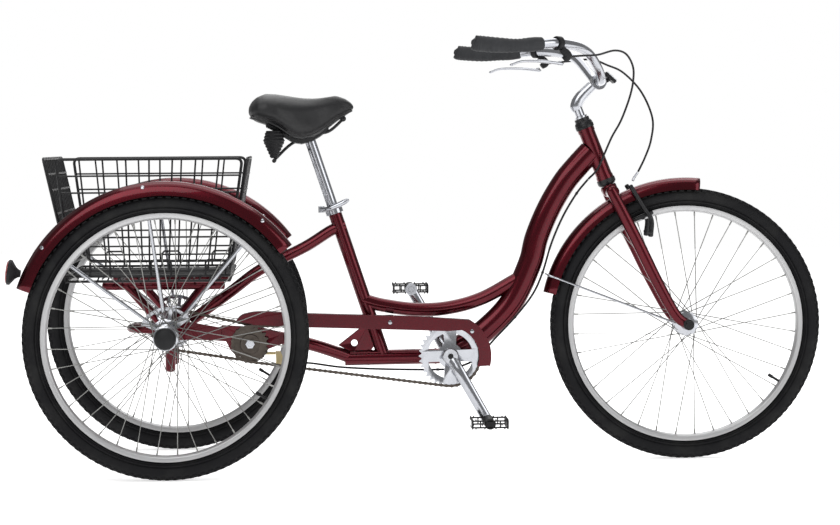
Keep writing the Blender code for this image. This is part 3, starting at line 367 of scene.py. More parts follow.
RECIPES = {
    "paint": candy_paint,
    "steel": bright_steel,
    "spoke": spoke_steel,
    "alloy": satin_alloy,
    "tyre": tyre_rubber,
    "grip": grip_rubber,
    "vinyl": saddle_vinyl,
    "black_metal": black_enamel,
    "black_plastic": black_plastic,
    "chain": chain_steel,
    "zinc": yellow_zinc,
    # The last number of each lens is the strength of its painted glow.
    "clear_lens": lambda: moulded_lens("clear_lens", (0.82, 0.84, 0.85), (0.58, 0.6, 0.62), 0.05),
    "red_lens": lambda: moulded_lens("red_lens", (0.5, 0.006, 0.008), (0.2, 0.002, 0.004), 0.02),
    "floor": pale_floor,
}
FINISHES = {}


def look(slot):
    """The material of a slot, made the first time that it is asked for."""
    if slot not in FINISHES:
        FINISHES[slot] = RECIPES[slot]()
    return FINISHES[slot]


# Mesh shapes


def linked(name, data):
    """A new object in the scene."""
    made = bpy.data.objects.new(name, data)
    bpy.context.scene.collection.objects.link(made)
    return made


def piece_from(bm, name, slot, smooth_angle=35):
    """A linked piece that takes over a bmesh, with its faces turned outwards and its material set."""
    bmesh.ops.remove_doubles(bm, verts=bm.verts, dist=1e-6)
    bmesh.ops.recalc_face_normals(bm, faces=bm.faces)
    mesh = bpy.data.meshes.new(name)
    bm.to_mesh(mesh)
    bm.free()
    mesh.materials.append(look(slot))
    mesh.shade_smooth()
    if smooth_angle:
        mesh.set_sharp_from_angle(angle=math.radians(smooth_angle))
    made = linked(name, mesh)
    return made


def settle(made, body, slot, *nodes):
    """Hands a finished piece to its body and hides the solids that it stands for."""
    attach(made, body)
    if nodes:
        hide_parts(*nodes)
    return made


def put(bm, name, slot, body, *nodes, edge=None, steps=2):
    """Makes a piece from a bmesh, softens its edges if a width is given, and settles it on its body."""
    made = piece_from(bm, name, slot)
    if edge:
        softened(made, edge, steps)
    return settle(made, body, slot, *nodes)


def place_at(x, z, y=0.0):
    return Vector((x, y, z))


def spots(*places):
    """Points given as (x, z) or (x, z, y)."""
    return [place_at(*each) for each in places]


def mm(*rows):
    """Rows of millimetres, such as (radius, height) or (x, z), in metres."""
    return [tuple(value / 1000 for value in row) for row in rows]


def path_mm(*rows):
    """Points given as (x, z) or (x, z, y) in millimetres."""
    return spots(*mm(*rows))


def frame_along(direction, side):
    across = side - direction * side.dot(direction)
    if across.length < 1e-5:
        across = direction.orthogonal()
    across.normalize()
    return across, direction.cross(across)


def skin(bm, rings, closed=False):
    made = [[bm.verts.new(each) for each in ring] for ring in rings]
    pairs = list(zip(made, made[1:]))
    if closed:
        pairs.append((made[-1], made[0]))
    count = len(made[0])
    for first, second in pairs:
        for i in range(count):
            j = (i + 1) % count
            bm.faces.new((first[i], first[j], second[j], second[i]))
    if not closed:
        bm.faces.new(made[0][::-1])
        bm.faces.new(made[-1])


def smooth_path(points, steps):
    """Points along a Catmull-Rom curve through the given points."""
    ends = [points[0] * 2 - points[1], *points, points[-1] * 2 - points[-2]]
    path = []
    for a, b, c, d in zip(ends, ends[1:], ends[2:], ends[3:]):
        for step in range(steps):
            t = step / steps
            bend = (2 * a - 5 * b + 4 * c - d) * t * t + (3 * b - a - 3 * c + d) * t * t * t
            path.append(b + ((c - a) * t + bend) / 2)
    path.append(points[-1].copy())
    return path


def along_list(values, share):
    """A value read between the entries of a list, by a share from 0 to 1."""
    place = share * (len(values) - 1)
    low = min(int(place), len(values) - 2)
    return values[low] + (values[low + 1] - values[low]) * (place - low)


def add_tube(bm, path, radii, sides=20, side=SIDEWAYS, flatten=1.0, rounded=0.0):
    """Adds a tube along a path. Rounded draws its two ends in, by that share of the radius."""
    if not isinstance(radii, (list, tuple)):
        radii = [radii, radii]
    rings = []
    last = len(path) - 1
    for i, centre in enumerate(path):
        direction = (path[min(i + 1, last)] - path[max(i - 1, 0)]).normalized()
        across, upward = frame_along(direction, side)
        radius = along_list(radii, i / last)
        turns = [math.tau * k / sides for k in range(sides)]
        ring = [across * (math.cos(t) * radius * flatten) + upward * (math.sin(t) * radius) for t in turns]
        if rounded and i == 0:
            rings.append([centre - direction * radius * rounded + each * 0.45 for each in ring])
            rings.append([centre - direction * radius * rounded * 0.6 + each * 0.82 for each in ring])
        rings.append([centre + each for each in ring])
        if rounded and i == last:
            rings.append([centre + direction * radius * rounded * 0.6 + each * 0.82 for each in ring])
            rings.append([centre + direction * radius * rounded + each * 0.45 for each in ring])
    skin(bm, rings)


def outwards(axis, segments):
    """Directions square to an axis, evenly round it."""
    across, upward = frame_along(axis, Vector((1, 0, 0.001)))
    turns = [math.tau * i / segments for i in range(segments)]
    return [across * math.cos(t) + upward * math.sin(t) for t in turns]


def add_turned(bm, profile, centre, axis, segments=32):
    """Adds rings of (radius, height) along an axis, closed by flat ends."""
    ways = outwards(axis, segments)
    skin(bm, [[centre + way * radius + axis * height for way in ways] for radius, height in profile])


def add_ring(bm, profile, centre, axis, segments=32):
    """Sweeps a closed profile of (radius, height) round an axis."""
    ways = outwards(axis, segments)
    rings = [[centre + way * radius + axis * height for radius, height in profile] for way in ways]
    skin(bm, rings, closed=True)


def add_plate(bm, outline, near, far):
    """Adds a flat outline of (x, z) points, thick from y = near to y = far."""
    skin(bm, [[Vector((x, y, z)) for x, z in outline] for y in (near, far)])


def add_box(bm, low, high):
    add_plate(bm, [
        (low[0], low[2]), (high[0], low[2]), (high[0], high[2]), (low[0], high[2]),
    ], low[1], high[1])


def arc_points(centre, radius, start, end, steps):
    turns = [math.radians(start + (end - start) * i / steps) for i in range(steps + 1)]
    return [(centre.x + radius * math.cos(t), centre.z + radius * math.sin(t)) for t in turns]


def on_wheel(centre, radius, degrees, y):
    turn = math.radians(degrees)
    return Vector((centre.x + radius * math.cos(turn), y, centre.z + radius * math.sin(turn)))


def softened(made, width, segments=2):
    """Rounds the sharp edges of a piece with a live Bevel."""
    bevel = made.modifiers.new("rounded edges", "BEVEL")
    bevel.width = width
    bevel.segments = segments
    bevel.limit_method = "ANGLE"
    bevel.angle_limit = math.radians(40)
    return made


def cut_through(made, outlines, near, far):
    """Cuts flat outlines through a plate with one exact Boolean, and keeps a plain mesh."""
    bm = bmesh.new()
    for outline in outlines:
        add_plate(bm, outline, near, far)
    cutter = piece_from(bm, made.name + "_cutter", "steel")
    cut = made.modifiers.new("windows", "BOOLEAN")
    cut.object = cutter
    cut.operation = "DIFFERENCE"
    cut.solver = "EXACT"
    return baked(made, [cutter])


def baked(made, helpers=()):
    """Replaces a piece's mesh with its evaluated one, and removes its modifiers and helpers."""
    bpy.context.view_layer.update()
    graph = bpy.context.evaluated_depsgraph_get()
    mesh = bpy.data.meshes.new_from_object(made.evaluated_get(graph))
    made.modifiers.clear()
    made.data = mesh
    for helper in helpers:
        bpy.data.objects.remove(helper, do_unlink=True)
    return made


# Geometry Nodes


def new_tree(name, inputs, kinds, links, settings=()):
    """A node tree, from inputs (name, socket type, default), nodes by short name and links.

    A link is (node, output, node, input). Every tree ends in Realize Instances and Set Material.
    """
    tree = bpy.data.node_groups.new(name, "GeometryNodeTree")
    geometry = ("Geometry", "NodeSocketGeometry", None)
    for label, kind, default in (geometry, *inputs, ("Material", "NodeSocketMaterial", None)):
        socket = tree.interface.new_socket(label, in_out="INPUT", socket_type=kind)
        if default is not None:
            socket.default_value = default
    tree.interface.new_socket("Geometry", in_out="OUTPUT", socket_type="NodeSocketGeometry")
    kinds = {
        "source": "NodeGroupInput",
        "result": "NodeGroupOutput",
        "realize": "GeometryNodeRealizeInstances",
        "paint": "GeometryNodeSetMaterial",
        **kinds,
    }
    nodes = {label: tree.nodes.new(kind) for label, kind in kinds.items()}
    for label, socket, value in settings:
        if socket in nodes[label].inputs:
            nodes[label].inputs[socket].default_value = value
        else:
            setattr(nodes[label], socket, value)
    ending = [
        ("realize", "Geometry", "paint", "Geometry"), ("source", "Material", "paint", "Material"),
        ("paint", "Geometry", "result", "Geometry"),
    ]
    for start, output, end, into in [*links, *ending]:
        tree.links.new(nodes[start].outputs[output], nodes[end].inputs[into])
    return tree


def tube_tree():
    """Turns the edges of a mesh into round wires."""
    return new_tree(
        "wires_from_edges",
        [("Radius", "NodeSocketFloat", 0.002), ("Sides", "NodeSocketInt", 8)],
        {
            "curve": "GeometryNodeMeshToCurve",
            "circle": "GeometryNodeCurvePrimitiveCircle",
            "sweep": "GeometryNodeCurveToMesh",
            "smooth": "GeometryNodeSetShadeSmooth",
        },
        [
            ("source", "Geometry", "curve", "Mesh"), ("source", "Sides", "circle", "Resolution"),
            ("source", "Radius", "circle", "Radius"), ("curve", "Curve", "sweep", "Curve"),
            ("circle", "Curve", "sweep", "Profile Curve"), ("sweep", "Mesh", "smooth", "Geometry"),
            ("smooth", "Geometry", "realize", "Geometry"),
        ],
        [("sweep", "Fill Caps", True)],
    )


def copies_tree():
    """Puts a copy of a pattern piece on every point, turned by the point's own turn attribute."""
    return new_tree(
        "copies_on_points",
        [("Pattern", "NodeSocketObject", None), ("Size", "NodeSocketFloat", 1.0)],
        {
            "info": "GeometryNodeObjectInfo",
            "turn": "GeometryNodeInputNamedAttribute",
            "rotation": "FunctionNodeEulerToRotation",
            "copies": "GeometryNodeInstanceOnPoints",
        },
        [
            ("source", "Pattern", "info", "Object"), ("source", "Geometry", "copies", "Points"),
            ("info", "Geometry", "copies", "Instance"), ("turn", "Attribute", "rotation", "Euler"),
            ("rotation", "Rotation", "copies", "Rotation"), ("source", "Size", "copies", "Scale"),
            ("copies", "Instances", "realize", "Geometry"),
        ],
        [("turn", "data_type", "FLOAT_VECTOR"), ("turn", "Name", "turn")],
    )


TREES = {}


def run_tree(made, kind, values, helpers=()):
    """Runs one of the trees on a piece with named inputs, and keeps the plain mesh."""
    if kind not in TREES:
        TREES[kind] = {"wires": tube_tree, "copies": copies_tree}[kind]()
    tree = TREES[kind]
    modifier = made.modifiers.new(kind, "NODES")
    modifier.node_group = tree
    for item in tree.interface.items_tree:
        if item.name in values:
            modifier[item.identifier] = values[item.name]
    baked(made, helpers)
    if not made.data.polygons:
        raise RuntimeError(made.name + " came out empty")
    return made


def wires(name, runs, radius, slot, sides=8):
    """One piece of round wires along several runs of points."""
    mesh = bpy.data.meshes.new(name)
    points, edges = [], []
    for run in runs:
        start = len(points)
        points += [tuple(p) for p in run]
        edges += [(i, i + 1) for i in range(start, len(points) - 1)]
    mesh.from_pydata(points, edges, [])
    made = linked(name, mesh)
    return run_tree(made, "wires", {"Radius": radius, "Sides": sides, "Material": look(slot)})


def copies(name, pattern, places, slot, size=1.0, smooth_angle=35):
    """One piece of many copies of a pattern, each at a (point, turn) place. The pattern is used up."""
    mesh = bpy.data.meshes.new(name)
    mesh.from_pydata([tuple(point) for point, _ in places], [], [])
    turns = mesh.attributes.new("turn", "FLOAT_VECTOR", "POINT")
    for item, (_, turn) in zip(turns.data, places):
        item.vector = tuple(turn)
    made = linked(name, mesh)
    run_tree(made, "copies", {"Pattern": pattern, "Size": size, "Material": look(slot)}, [pattern])
    made.data.shade_smooth()
    made.data.set_sharp_from_angle(angle=math.radians(smooth_angle))
    return made


def merge(name, slot, *parts):
    """Joins finished parts of one material into one piece."""
    bm = bmesh.new()
    for part in parts:
        bm.from_mesh(part.data)
        bpy.data.objects.remove(part, do_unlink=True)
    mesh = bpy.data.meshes.new(name)
    bm.to_mesh(mesh)
    bm.free()
    mesh.materials.clear()
    mesh.materials.append(look(slot))
    for polygon in mesh.polygons:
        polygon.material_index = 0
    mesh.shade_smooth()
    mesh.set_sharp_from_angle(angle=math.radians(35))
    made = linked(name, mesh)
    return made


def turn_from(direction, side=UP):
    """The Euler turn that lays a pattern's X along a direction and its Z as near to side as can be."""
    along = direction.normalized()
    high, _ = frame_along(along, side)
    across = high.cross(along)
    return Matrix((along, across, high)).transposed().to_euler()


# Frame


def steer(along, forward=0.0, side=0.0):
    """A point by its distance up the steering axis from the head tube's bottom, then square to it."""
    ahead = Vector((STEER_UP.z, 0, -STEER_UP.x))
    return HEAD_LOW + STEER_UP * along + ahead * forward + SIDEWAYS * side


HEAD_HIGH = steer(0.1311)
CROWN = Vector((0.4402, 0, 0.648))
SEAT_TUBE_HIGH = Vector((-0.2325, 0, 0.6195))
SEAT_TUBE_LOW = SEAT_TUBE_HIGH - SEAT_UP * 0.3725


def add_screw(bm, centre, axis, radius=0.0045, height=0.0035):
    """A domed button head."""
    profile = [
        (radius, -0.001), (radius, height * 0.45), (radius * 0.85, height * 0.8), (radius * 0.4, height),
    ]
    add_turned(bm, profile, centre, axis, 16)


def make_main_frame():
    bm = bmesh.new()
    down_route = path_mm(
        (392, 745), (363, 714), (328, 672), (291, 610), (261, 540), (243, 474), (197, 380), (124, 307),
        (50, 262),
    )
    add_tube(bm, smooth_path(down_route, 8), 0.029, 32, flatten=0.8)
    lower_route = path_mm((-160, 391), (-112, 378), (-32, 367), (48, 371), (129, 393.5), (215, 440))
    add_tube(bm, smooth_path(lower_route, 8), 0.0165, 28)
    add_tube(bm, [HEAD_LOW + STEER_UP * 0.0005, HEAD_HIGH], 0.0195, 40)
    for along in (0.004, 0.1265):
        band = mm((19, -4.5), (20.8, -4.5), (20.8, 4.5), (19, 4.5))
        add_ring(bm, band, steer(along), STEER_UP, 40)
    tube = mm((14, -20), (16, -20), (16, 372.5), (14, 372.5))
    add_ring(bm, tube, SEAT_TUBE_LOW, SEAT_UP, 40)
    add_tube(bm, path_mm((-205, 251.5), (46, 254)), 0.0185, 32)
    shell = mm((19, -36), (22.2, -36), (23.5, -34.5), (23.5, 34.5), (22.2, 36), (19, 36))
    add_ring(bm, shell, BRACKET, SIDEWAYS, 40)
    yoke_route = path_mm((-190, 251.5), (-225, 266, -12), (-289, 288, -30), (-366, 306, -35))
    add_tube(bm, smooth_path(yoke_route, 8), 0.015, 28)
    stay_route = path_mm((-200, 572), (-235, 560), (-300, 520), (-405, 468), (-480, 413), (-575, 345))
    add_tube(bm, smooth_path(stay_route, 8), 0.0135, 28)
    for x, z in ((-0.148, 0.2525), (0.014, 0.2538)):
        band = [(0.018, -0.002), (0.0196, -0.002), (0.0196, 0.002), (0.018, 0.002)]
        add_ring(bm, band, place_at(x, z), FORWARD, 32)
    put(bm, "main_frame_tubes", "paint", "frame", "main_frame")
    gusset_bm = bmesh.new()
    add_plate(gusset_bm, mm((-185, 262), (-146, 262), (-122, 300), (-141, 345), (-221, 283)), -0.003, 0.003)
    plate_outline = mm(
        (-575, 305), (-490, 298), (-477, 273), (-418, 268), (-352, 292), (-352, 316), (-416, 332),
        (-495, 337),
    )
    add_plate(gusset_bm, plate_outline, -0.051, -0.047)
    add_plate(gusset_bm, [p for p in plate_outline if p[0] > -0.48], -0.023, -0.019)
    plates = piece_from(gusset_bm, "main_frame_plates", "paint")
    hole = arc_points(place_at(-0.182, 0.288), 0.008, 0, 345, 23)
    axle_hole = arc_points(JACKSHAFT, 0.0066, 0, 345, 23)
    cut_through(plates, [hole, axle_hole], -0.06, 0.06)
    settle(softened(plates, 0.0008), "frame", "paint", "main_frame")


def make_frame_hardware():
    """The unpainted and black pieces on the frame: bearing cups, slot bolts and caps."""
    bm = bmesh.new()
    for side in (-1, 1):
        cup = [(0.0093, 0.0355), (0.0205, 0.0355), (0.0205, 0.0392), (0.019, 0.041), (0.0093, 0.041)]
        add_ring(bm, cup, BRACKET, SIDEWAYS * side, 40)
    for x in (-0.512, -0.528, -0.548):
        add_turned(bm, mm((6.5, 0), (6.5, 4), (5.5, 5)), place_at(x, 0.318, -0.0508), -SIDEWAYS, 6)
    put(bm, "bracket_cups", "steel", "frame", "main_frame", edge=0.0004)
    cups = bmesh.new()
    low = mm((15, -15), (18, -15.5), (21, -12.5), (22.5, -9.5), (22.5, 0), (15, 0))
    add_ring(cups, low, HEAD_LOW, STEER_UP, 48)
    put(cups, "lower_headset_cup", "black_metal", "frame", "main_frame")
    tops = bmesh.new()
    high = [
        (0.0135, 0.0004), (0.0225, 0.0004), (0.0225, 0.0085), (0.0215, 0.01), (0.0222, 0.011),
        (0.0205, 0.0165), (0.018, 0.0185), (0.018, 0.026), (0.0168, 0.0268), (0.0135, 0.0268),
    ]
    add_ring(tops, high, HEAD_HIGH, STEER_UP, 48)
    put(tops, "headset_top", "black_metal", "frame", "upper_headset_cup")


def make_rear_frame():
    bm = bmesh.new()
    height = REAR_AXLE.z
    for side in (-1, 1):
        start = -0.075 if side < 0 else 0.012
        add_tube(bm, spots((REAR_AXLE.x, height, start), (REAR_AXLE.x, height, side * 0.262)), 0.017, 32, UP)
        flange = mm((16.5, 244), (20.5, 244), (20.5, 260.5), (19, 262), (16.5, 262))
        add_ring(bm, flange, place_at(REAR_AXLE.x, height), SIDEWAYS * side, 40)
        y = side * 0.195
        for x in (-0.715, -0.535):
            add_tube(bm, spots((REAR_AXLE.x, height + 0.005, y), (x, 0.44, y)), 0.0105, 20)
        add_tube(bm, spots((-0.77, 0.44, y), (-0.49, 0.44, y)), 0.0095, 20, rounded=0.3)
    for x in (-0.74, -0.515):
        add_tube(bm, spots((x, 0.44, -0.22), (x, 0.44, 0.22)), 0.0085, 20, UP, rounded=0.3)
    bridge_route = spots(
        (REAR_AXLE.x, height, -0.09), (-0.69, height + 0.004, -0.09), (-0.715, height + 0.004, -0.05),
        (-0.69, height + 0.004, 0.03), (REAR_AXLE.x, height, 0.03),
    )
    add_tube(bm, smooth_path(bridge_route, 6), 0.01, 20, UP)
    for y in (-0.11, 0.11):
        add_tube(bm, spots((REAR_AXLE.x, height, y), (REAR_AXLE.x, 0.236, y)), 0.012, 20, rounded=0.4)
    mount = mm((-640, 350), (-640, 306), (-500, 303), (-500, 333), (-590, 350))
    add_plate(bm, mount, -0.086, -0.076)
    add_plate(bm, mm((-512, 303), (-500, 303), (-500, 333), (-512, 333)), -0.079, -0.0513)
    put(bm, "rear_frame_tubes", "paint", "frame", "rear_frame")


# Wheels


TYRE_HALF = 0.0235
SPOKE_RADIUS = 0.0011
SPOKE_CROSSING = math.radians(68)
HUB_HOLES = 0.0262
VALVE_TURN = math.radians(-32)
RIM_OUTER = 0.2855
RIM_INNER = 0.2705


def make_tyre(name, body, centre):
    """A carcass with a raised band on its side wall, and rows of tread blocks round it."""
    out = WHEEL_RADIUS - 0.0022
    side = [(RIM_OUTER - 0.0045, 0.0105), (RIM_OUTER + 0.002, 0.0112), (RIM_OUTER + 0.004, 0.015)]
    for i in range(9):
        turn = math.radians(-52 + i * 15.5)
        side.append((0.3075 + 0.0183 * math.sin(turn), TYRE_HALF * math.cos(turn)))
    side = [p for p in side if p[0] < out - 0.0005] + [(out, 0.003)]
    profile = side + [(radius, -height) for radius, height in reversed(side)]
    bm = bmesh.new()
    add_ring(bm, profile, centre, SIDEWAYS, sizes().wheel_steps)
    for way in (-1, 1):
        bead = [(0.2925, way * 0.019), (0.2938, way * 0.0222), (0.2956, way * 0.0229), (0.2966, way * 0.0205)]
        add_ring(bm, bead, centre, SIDEWAYS, sizes().wheel_steps)
    put(bm, name + "_carcass", "tyre", body, name)
    places = []
    blocks = sizes().tread_blocks
    for i in range(blocks):
        for across, tip, shift in (
            (0.0, 0.0, 0.0), (0.0085, 0.22, 0.5), (-0.0085, -0.22, 0.5), (0.0158, 0.62, 0.0),
            (-0.0158, -0.62, 0.0),
        ):
            turn = (i + shift) * math.tau / blocks
            outward = Vector((math.cos(turn), 0, math.sin(turn)))
            lean = (outward * math.cos(tip) + SIDEWAYS * math.sin(tip)).normalized()
            radius = 0.3075 + 0.0183 * math.cos(tip) - (0.0001 if tip else 0.0002)
            along = Vector((-math.sin(turn), 0, math.cos(turn)))
            places.append((centre + outward * radius + SIDEWAYS * across, turn_from(along, lean)))
    pattern_bm = bmesh.new()
    bmesh.ops.create_cube(pattern_bm, size=1.0)
    for vert in pattern_bm.verts:
        shrink = 0.72 if vert.co.z > 0 else 1.0
        vert.co = Vector((vert.co.x * 0.0128 * shrink, vert.co.y * 0.0072 * shrink, vert.co.z * 0.004))
    pattern = piece_from(pattern_bm, name + "_block", "tyre", 0)
    tread = copies(name + "_tread", pattern, places, "tyre")
    settle(tread, body, "tyre")


def make_wheel(name, body, centre, half, bore):
    """A box rim, a flanged hub, crossed spokes with nipples, and a valve."""
    bm = bmesh.new()
    rim_half = 0.0145
    side = [
        (RIM_INNER, 0.0045), (RIM_INNER + 0.0008, 0.009), (RIM_OUTER - 0.0105, rim_half - 0.0004),
        (RIM_OUTER - 0.0095, rim_half), (RIM_OUTER - 0.0006, rim_half), (RIM_OUTER, rim_half - 0.0006),
        (RIM_OUTER, rim_half - 0.0016), (RIM_OUTER - 0.005, rim_half - 0.0034),
    ]
    profile = side + [(radius, -height) for radius, height in reversed(side)]
    add_ring(bm, profile, centre, SIDEWAYS, sizes().wheel_steps)
    put(bm, name + "_rim", "alloy", body, name)
    hub = bmesh.new()
    outline = [
        (bore, half), (0.0125, half), (0.0135, half - 0.0012), (0.0145, half - 0.009),
        (0.0275, half - 0.0104), (0.029, half - 0.0112), (0.029, half - 0.014), (0.0275, half - 0.0146),
        (0.0165, half - 0.0165), (0.015, half - 0.022),
    ]
    shell = outline + [(radius, -height) for radius, height in reversed(outline)]
    add_ring(hub, shell, centre, SIDEWAYS, 48)
    put(hub, name + "_hub", "steel", body)
    runs, nipples = [], []
    count = sizes().spokes
    for i in range(count):
        way = 1 if i % 2 else -1
        lean = 1 if (i // 2) % 2 else -1
        rim_turn = (i + 0.5) * math.tau / count
        hub_turn = rim_turn + lean * SPOKE_CROSSING
        inner = Vector((math.cos(hub_turn), 0, math.sin(hub_turn))) * HUB_HOLES
        inner.y = way * (half - 0.0125 + lean * 0.0019)
        outer = Vector((math.cos(rim_turn), 0, math.sin(rim_turn))) * (RIM_INNER + 0.002)
        outer.y = way * 0.002
        head = Vector(inner)
        head.y = way * (half - 0.0125)
        runs.append([centre + head, centre + inner, centre + outer])
        nipples.append((centre + outer, turn_from(outer - inner)))
    spokes = wires(name + "_spokes", runs, SPOKE_RADIUS, "spoke", 6)
    settle(spokes, body, "steel")
    pattern_bm = bmesh.new()
    nipple = mm((1.6, -12.5), (1.8, -10), (1.9, -2), (3, -1), (3, 0.5))
    add_turned(pattern_bm, nipple, Vector((0, 0, 0)), FORWARD, 8)
    pattern = piece_from(pattern_bm, name + "_nipple", "steel")
    settle(copies(name + "_nipples", pattern, nipples, "spoke"), body, "steel")
    valve = bmesh.new()
    inward = -Vector((math.cos(VALVE_TURN), 0, math.sin(VALVE_TURN)))
    stem = mm((3.1, -2), (3.1, 18), (4, 18.5), (4, 29), (3, 30))
    add_turned(valve, stem, centre - inward * RIM_INNER, inward, 16)
    put(valve, name + "_valve", "black_plastic", body)


def make_front_wheel():
    make_tyre("front_tyre", "front_wheel", FRONT_AXLE)
    make_wheel("front_wheel", "front_wheel", FRONT_AXLE, 0.038, 0.0057)
    bm = bmesh.new()
    add_tube(bm, [FRONT_AXLE - SIDEWAYS * 0.0775, FRONT_AXLE + SIDEWAYS * 0.0775], 0.005, 20, UP)
    for side in (-1, 1):
        nut = mm((8.8, 66.8), (13, 66.8), (13, 73), (11.5, 74.5), (9, 75), (8.5, 82.5), (6, 83))
        add_turned(bm, nut, FRONT_AXLE, SIDEWAYS * side, 32)
    put(bm, "front_axle_nuts", "black_plastic", "steering", "front_axle")


def make_rear_wheels():
    for name, body, side in (("left", "rear_axle", 1), ("right", "right_rear_wheel", -1)):
        centre = REAR_AXLE + SIDEWAYS * HALF_TRACK * side
        make_tyre(name + "_tyre", body, centre)
        make_wheel(name + "_wheel", body, centre, 0.04, 0.0083)
        bm = bmesh.new()
        cap = mm((24.5, 0.2), (25.3, 1), (25.5, 6), (24.5, 10), (21.5, 15.5), (15, 19.2), (6, 20.8))
        add_turned(bm, cap, REAR_AXLE + SIDEWAYS * side * 0.3755, SIDEWAYS * side, 48)
        put(bm, name + "_cap", "black_plastic", body, name + "_hub_cap")


# Drive


CHAINRING_TEETH, JACKSHAFT_TEETH, AXLE_TEETH = 36, 21, 24
CRANK_LENGTH = 0.175
CRANK_FACE = 0.064
CHAINRING_Y = -0.06
DRIVE_Y = -0.033
CRANK_TURN = math.atan2(0.103 - 0.259, 0.134 - 0.046)


def pitch_radius(teeth):
    return CHAIN_PITCH / (2 * math.sin(math.pi / teeth))


def sprocket_outline(centre, teeth):
    """(x, z) points round a toothed disc, with a round root between the sloping flanks."""
    outline = []
    for i in range(teeth):
        for share, rise in (
            (-0.5, -0.004), (-0.36, -0.0032), (-0.24, -0.0008), (-0.1, 0.0024), (0.1, 0.0024),
            (0.24, -0.0008), (0.36, -0.0032),
        ):
            turn = (i + share) * math.tau / teeth
            radius = pitch_radius(teeth) + rise
            outline.append((centre.x + radius * math.cos(turn), centre.z + radius * math.sin(turn)))
    return outline


def sprocket(name, centre, teeth, y, slot, windows=()):
    bm = bmesh.new()
    add_plate(bm, sprocket_outline(centre, teeth), y - 0.0011, y + 0.0011)
    made = piece_from(bm, name, slot)
    if windows:
        cut_through(made, windows, y - 0.01, y + 0.01)
    return softened(made, 0.0003)


def make_chain(name, front, front_teeth, rear, rear_teeth, y):
    """Rollers with alternate inner and outer link plates at every pitch round two sprockets."""
    first, second = pitch_radius(front_teeth), pitch_radius(rear_teeth)
    along = math.atan2(front.z - rear.z, front.x - rear.x)
    distance = math.hypot(front.x - rear.x, front.z - rear.z)
    lean = math.asin((first - second) / distance)
    route = []
    for centre, radius, start, sweep in (
        (front, first, along - math.pi / 2 - lean, math.pi + 2 * lean),
        (rear, second, along + math.pi / 2 + lean, math.pi - 2 * lean),
    ):
        for i in range(65):
            turn = start + sweep * i / 64
            route.append(Vector((centre.x + radius * math.cos(turn), y, centre.z + radius * math.sin(turn))))
    lengths = [(b - a).length for a, b in zip(route, route[1:] + route[:1])]
    total = sum(lengths)
    links = round(total / CHAIN_PITCH / 2) * 2
    pins = []
    reach, index = 0.0, 0
    for i in range(links):
        wanted = total * i / links
        while reach + lengths[index] < wanted:
            reach += lengths[index]
            index += 1
        a, b = route[index], route[(index + 1) % len(route)]
        pins.append(a + (b - a) * ((wanted - reach) / lengths[index]))
    half = CHAIN_PITCH / 2
    wide = [
        (-half - 0.004, 0.0), (-half - 0.0028, 0.003), (-half, 0.0041), (-half + 0.003, 0.0031),
        (0.0, 0.0026),
    ]
    wide += [(-x, z) for x, z in reversed(wide[:-1])]
    wide += [(x, -z) for x, z in reversed(wide[1:-1])]
    made = []
    for kind, offset, start in (("inner", 0.0026, 0), ("outer", 0.0035, 1)):
        bm = bmesh.new()
        for way in (-1, 1):
            near, far = sorted((way * offset, way * (offset + 0.0008)))
            add_plate(bm, wide, near, far)
        if kind == "outer":
            for x in (-half, half):
                add_turned(bm, [(0.0018, -0.0047), (0.0018, 0.0047)], Vector((x, 0, 0)), SIDEWAYS, 10)
        else:
            for x in (-half, half):
                add_turned(bm, [(0.0037, -0.0026), (0.0037, 0.0026)], Vector((x, 0, 0)), SIDEWAYS, 12)
        pattern = piece_from(bm, name + "_" + kind, "chain")
        places = []
        for i in range(start, links, 2):
            a, b = pins[i], pins[(i + 1) % links]
            places.append(((a + b) / 2, turn_from(b - a, (a - b).cross(SIDEWAYS))))
        made.append(copies(name + "_" + kind + "_links", pattern, places, "chain"))
    settle(merge(name + "_links", "chain", *made), "frame", "chain", name)


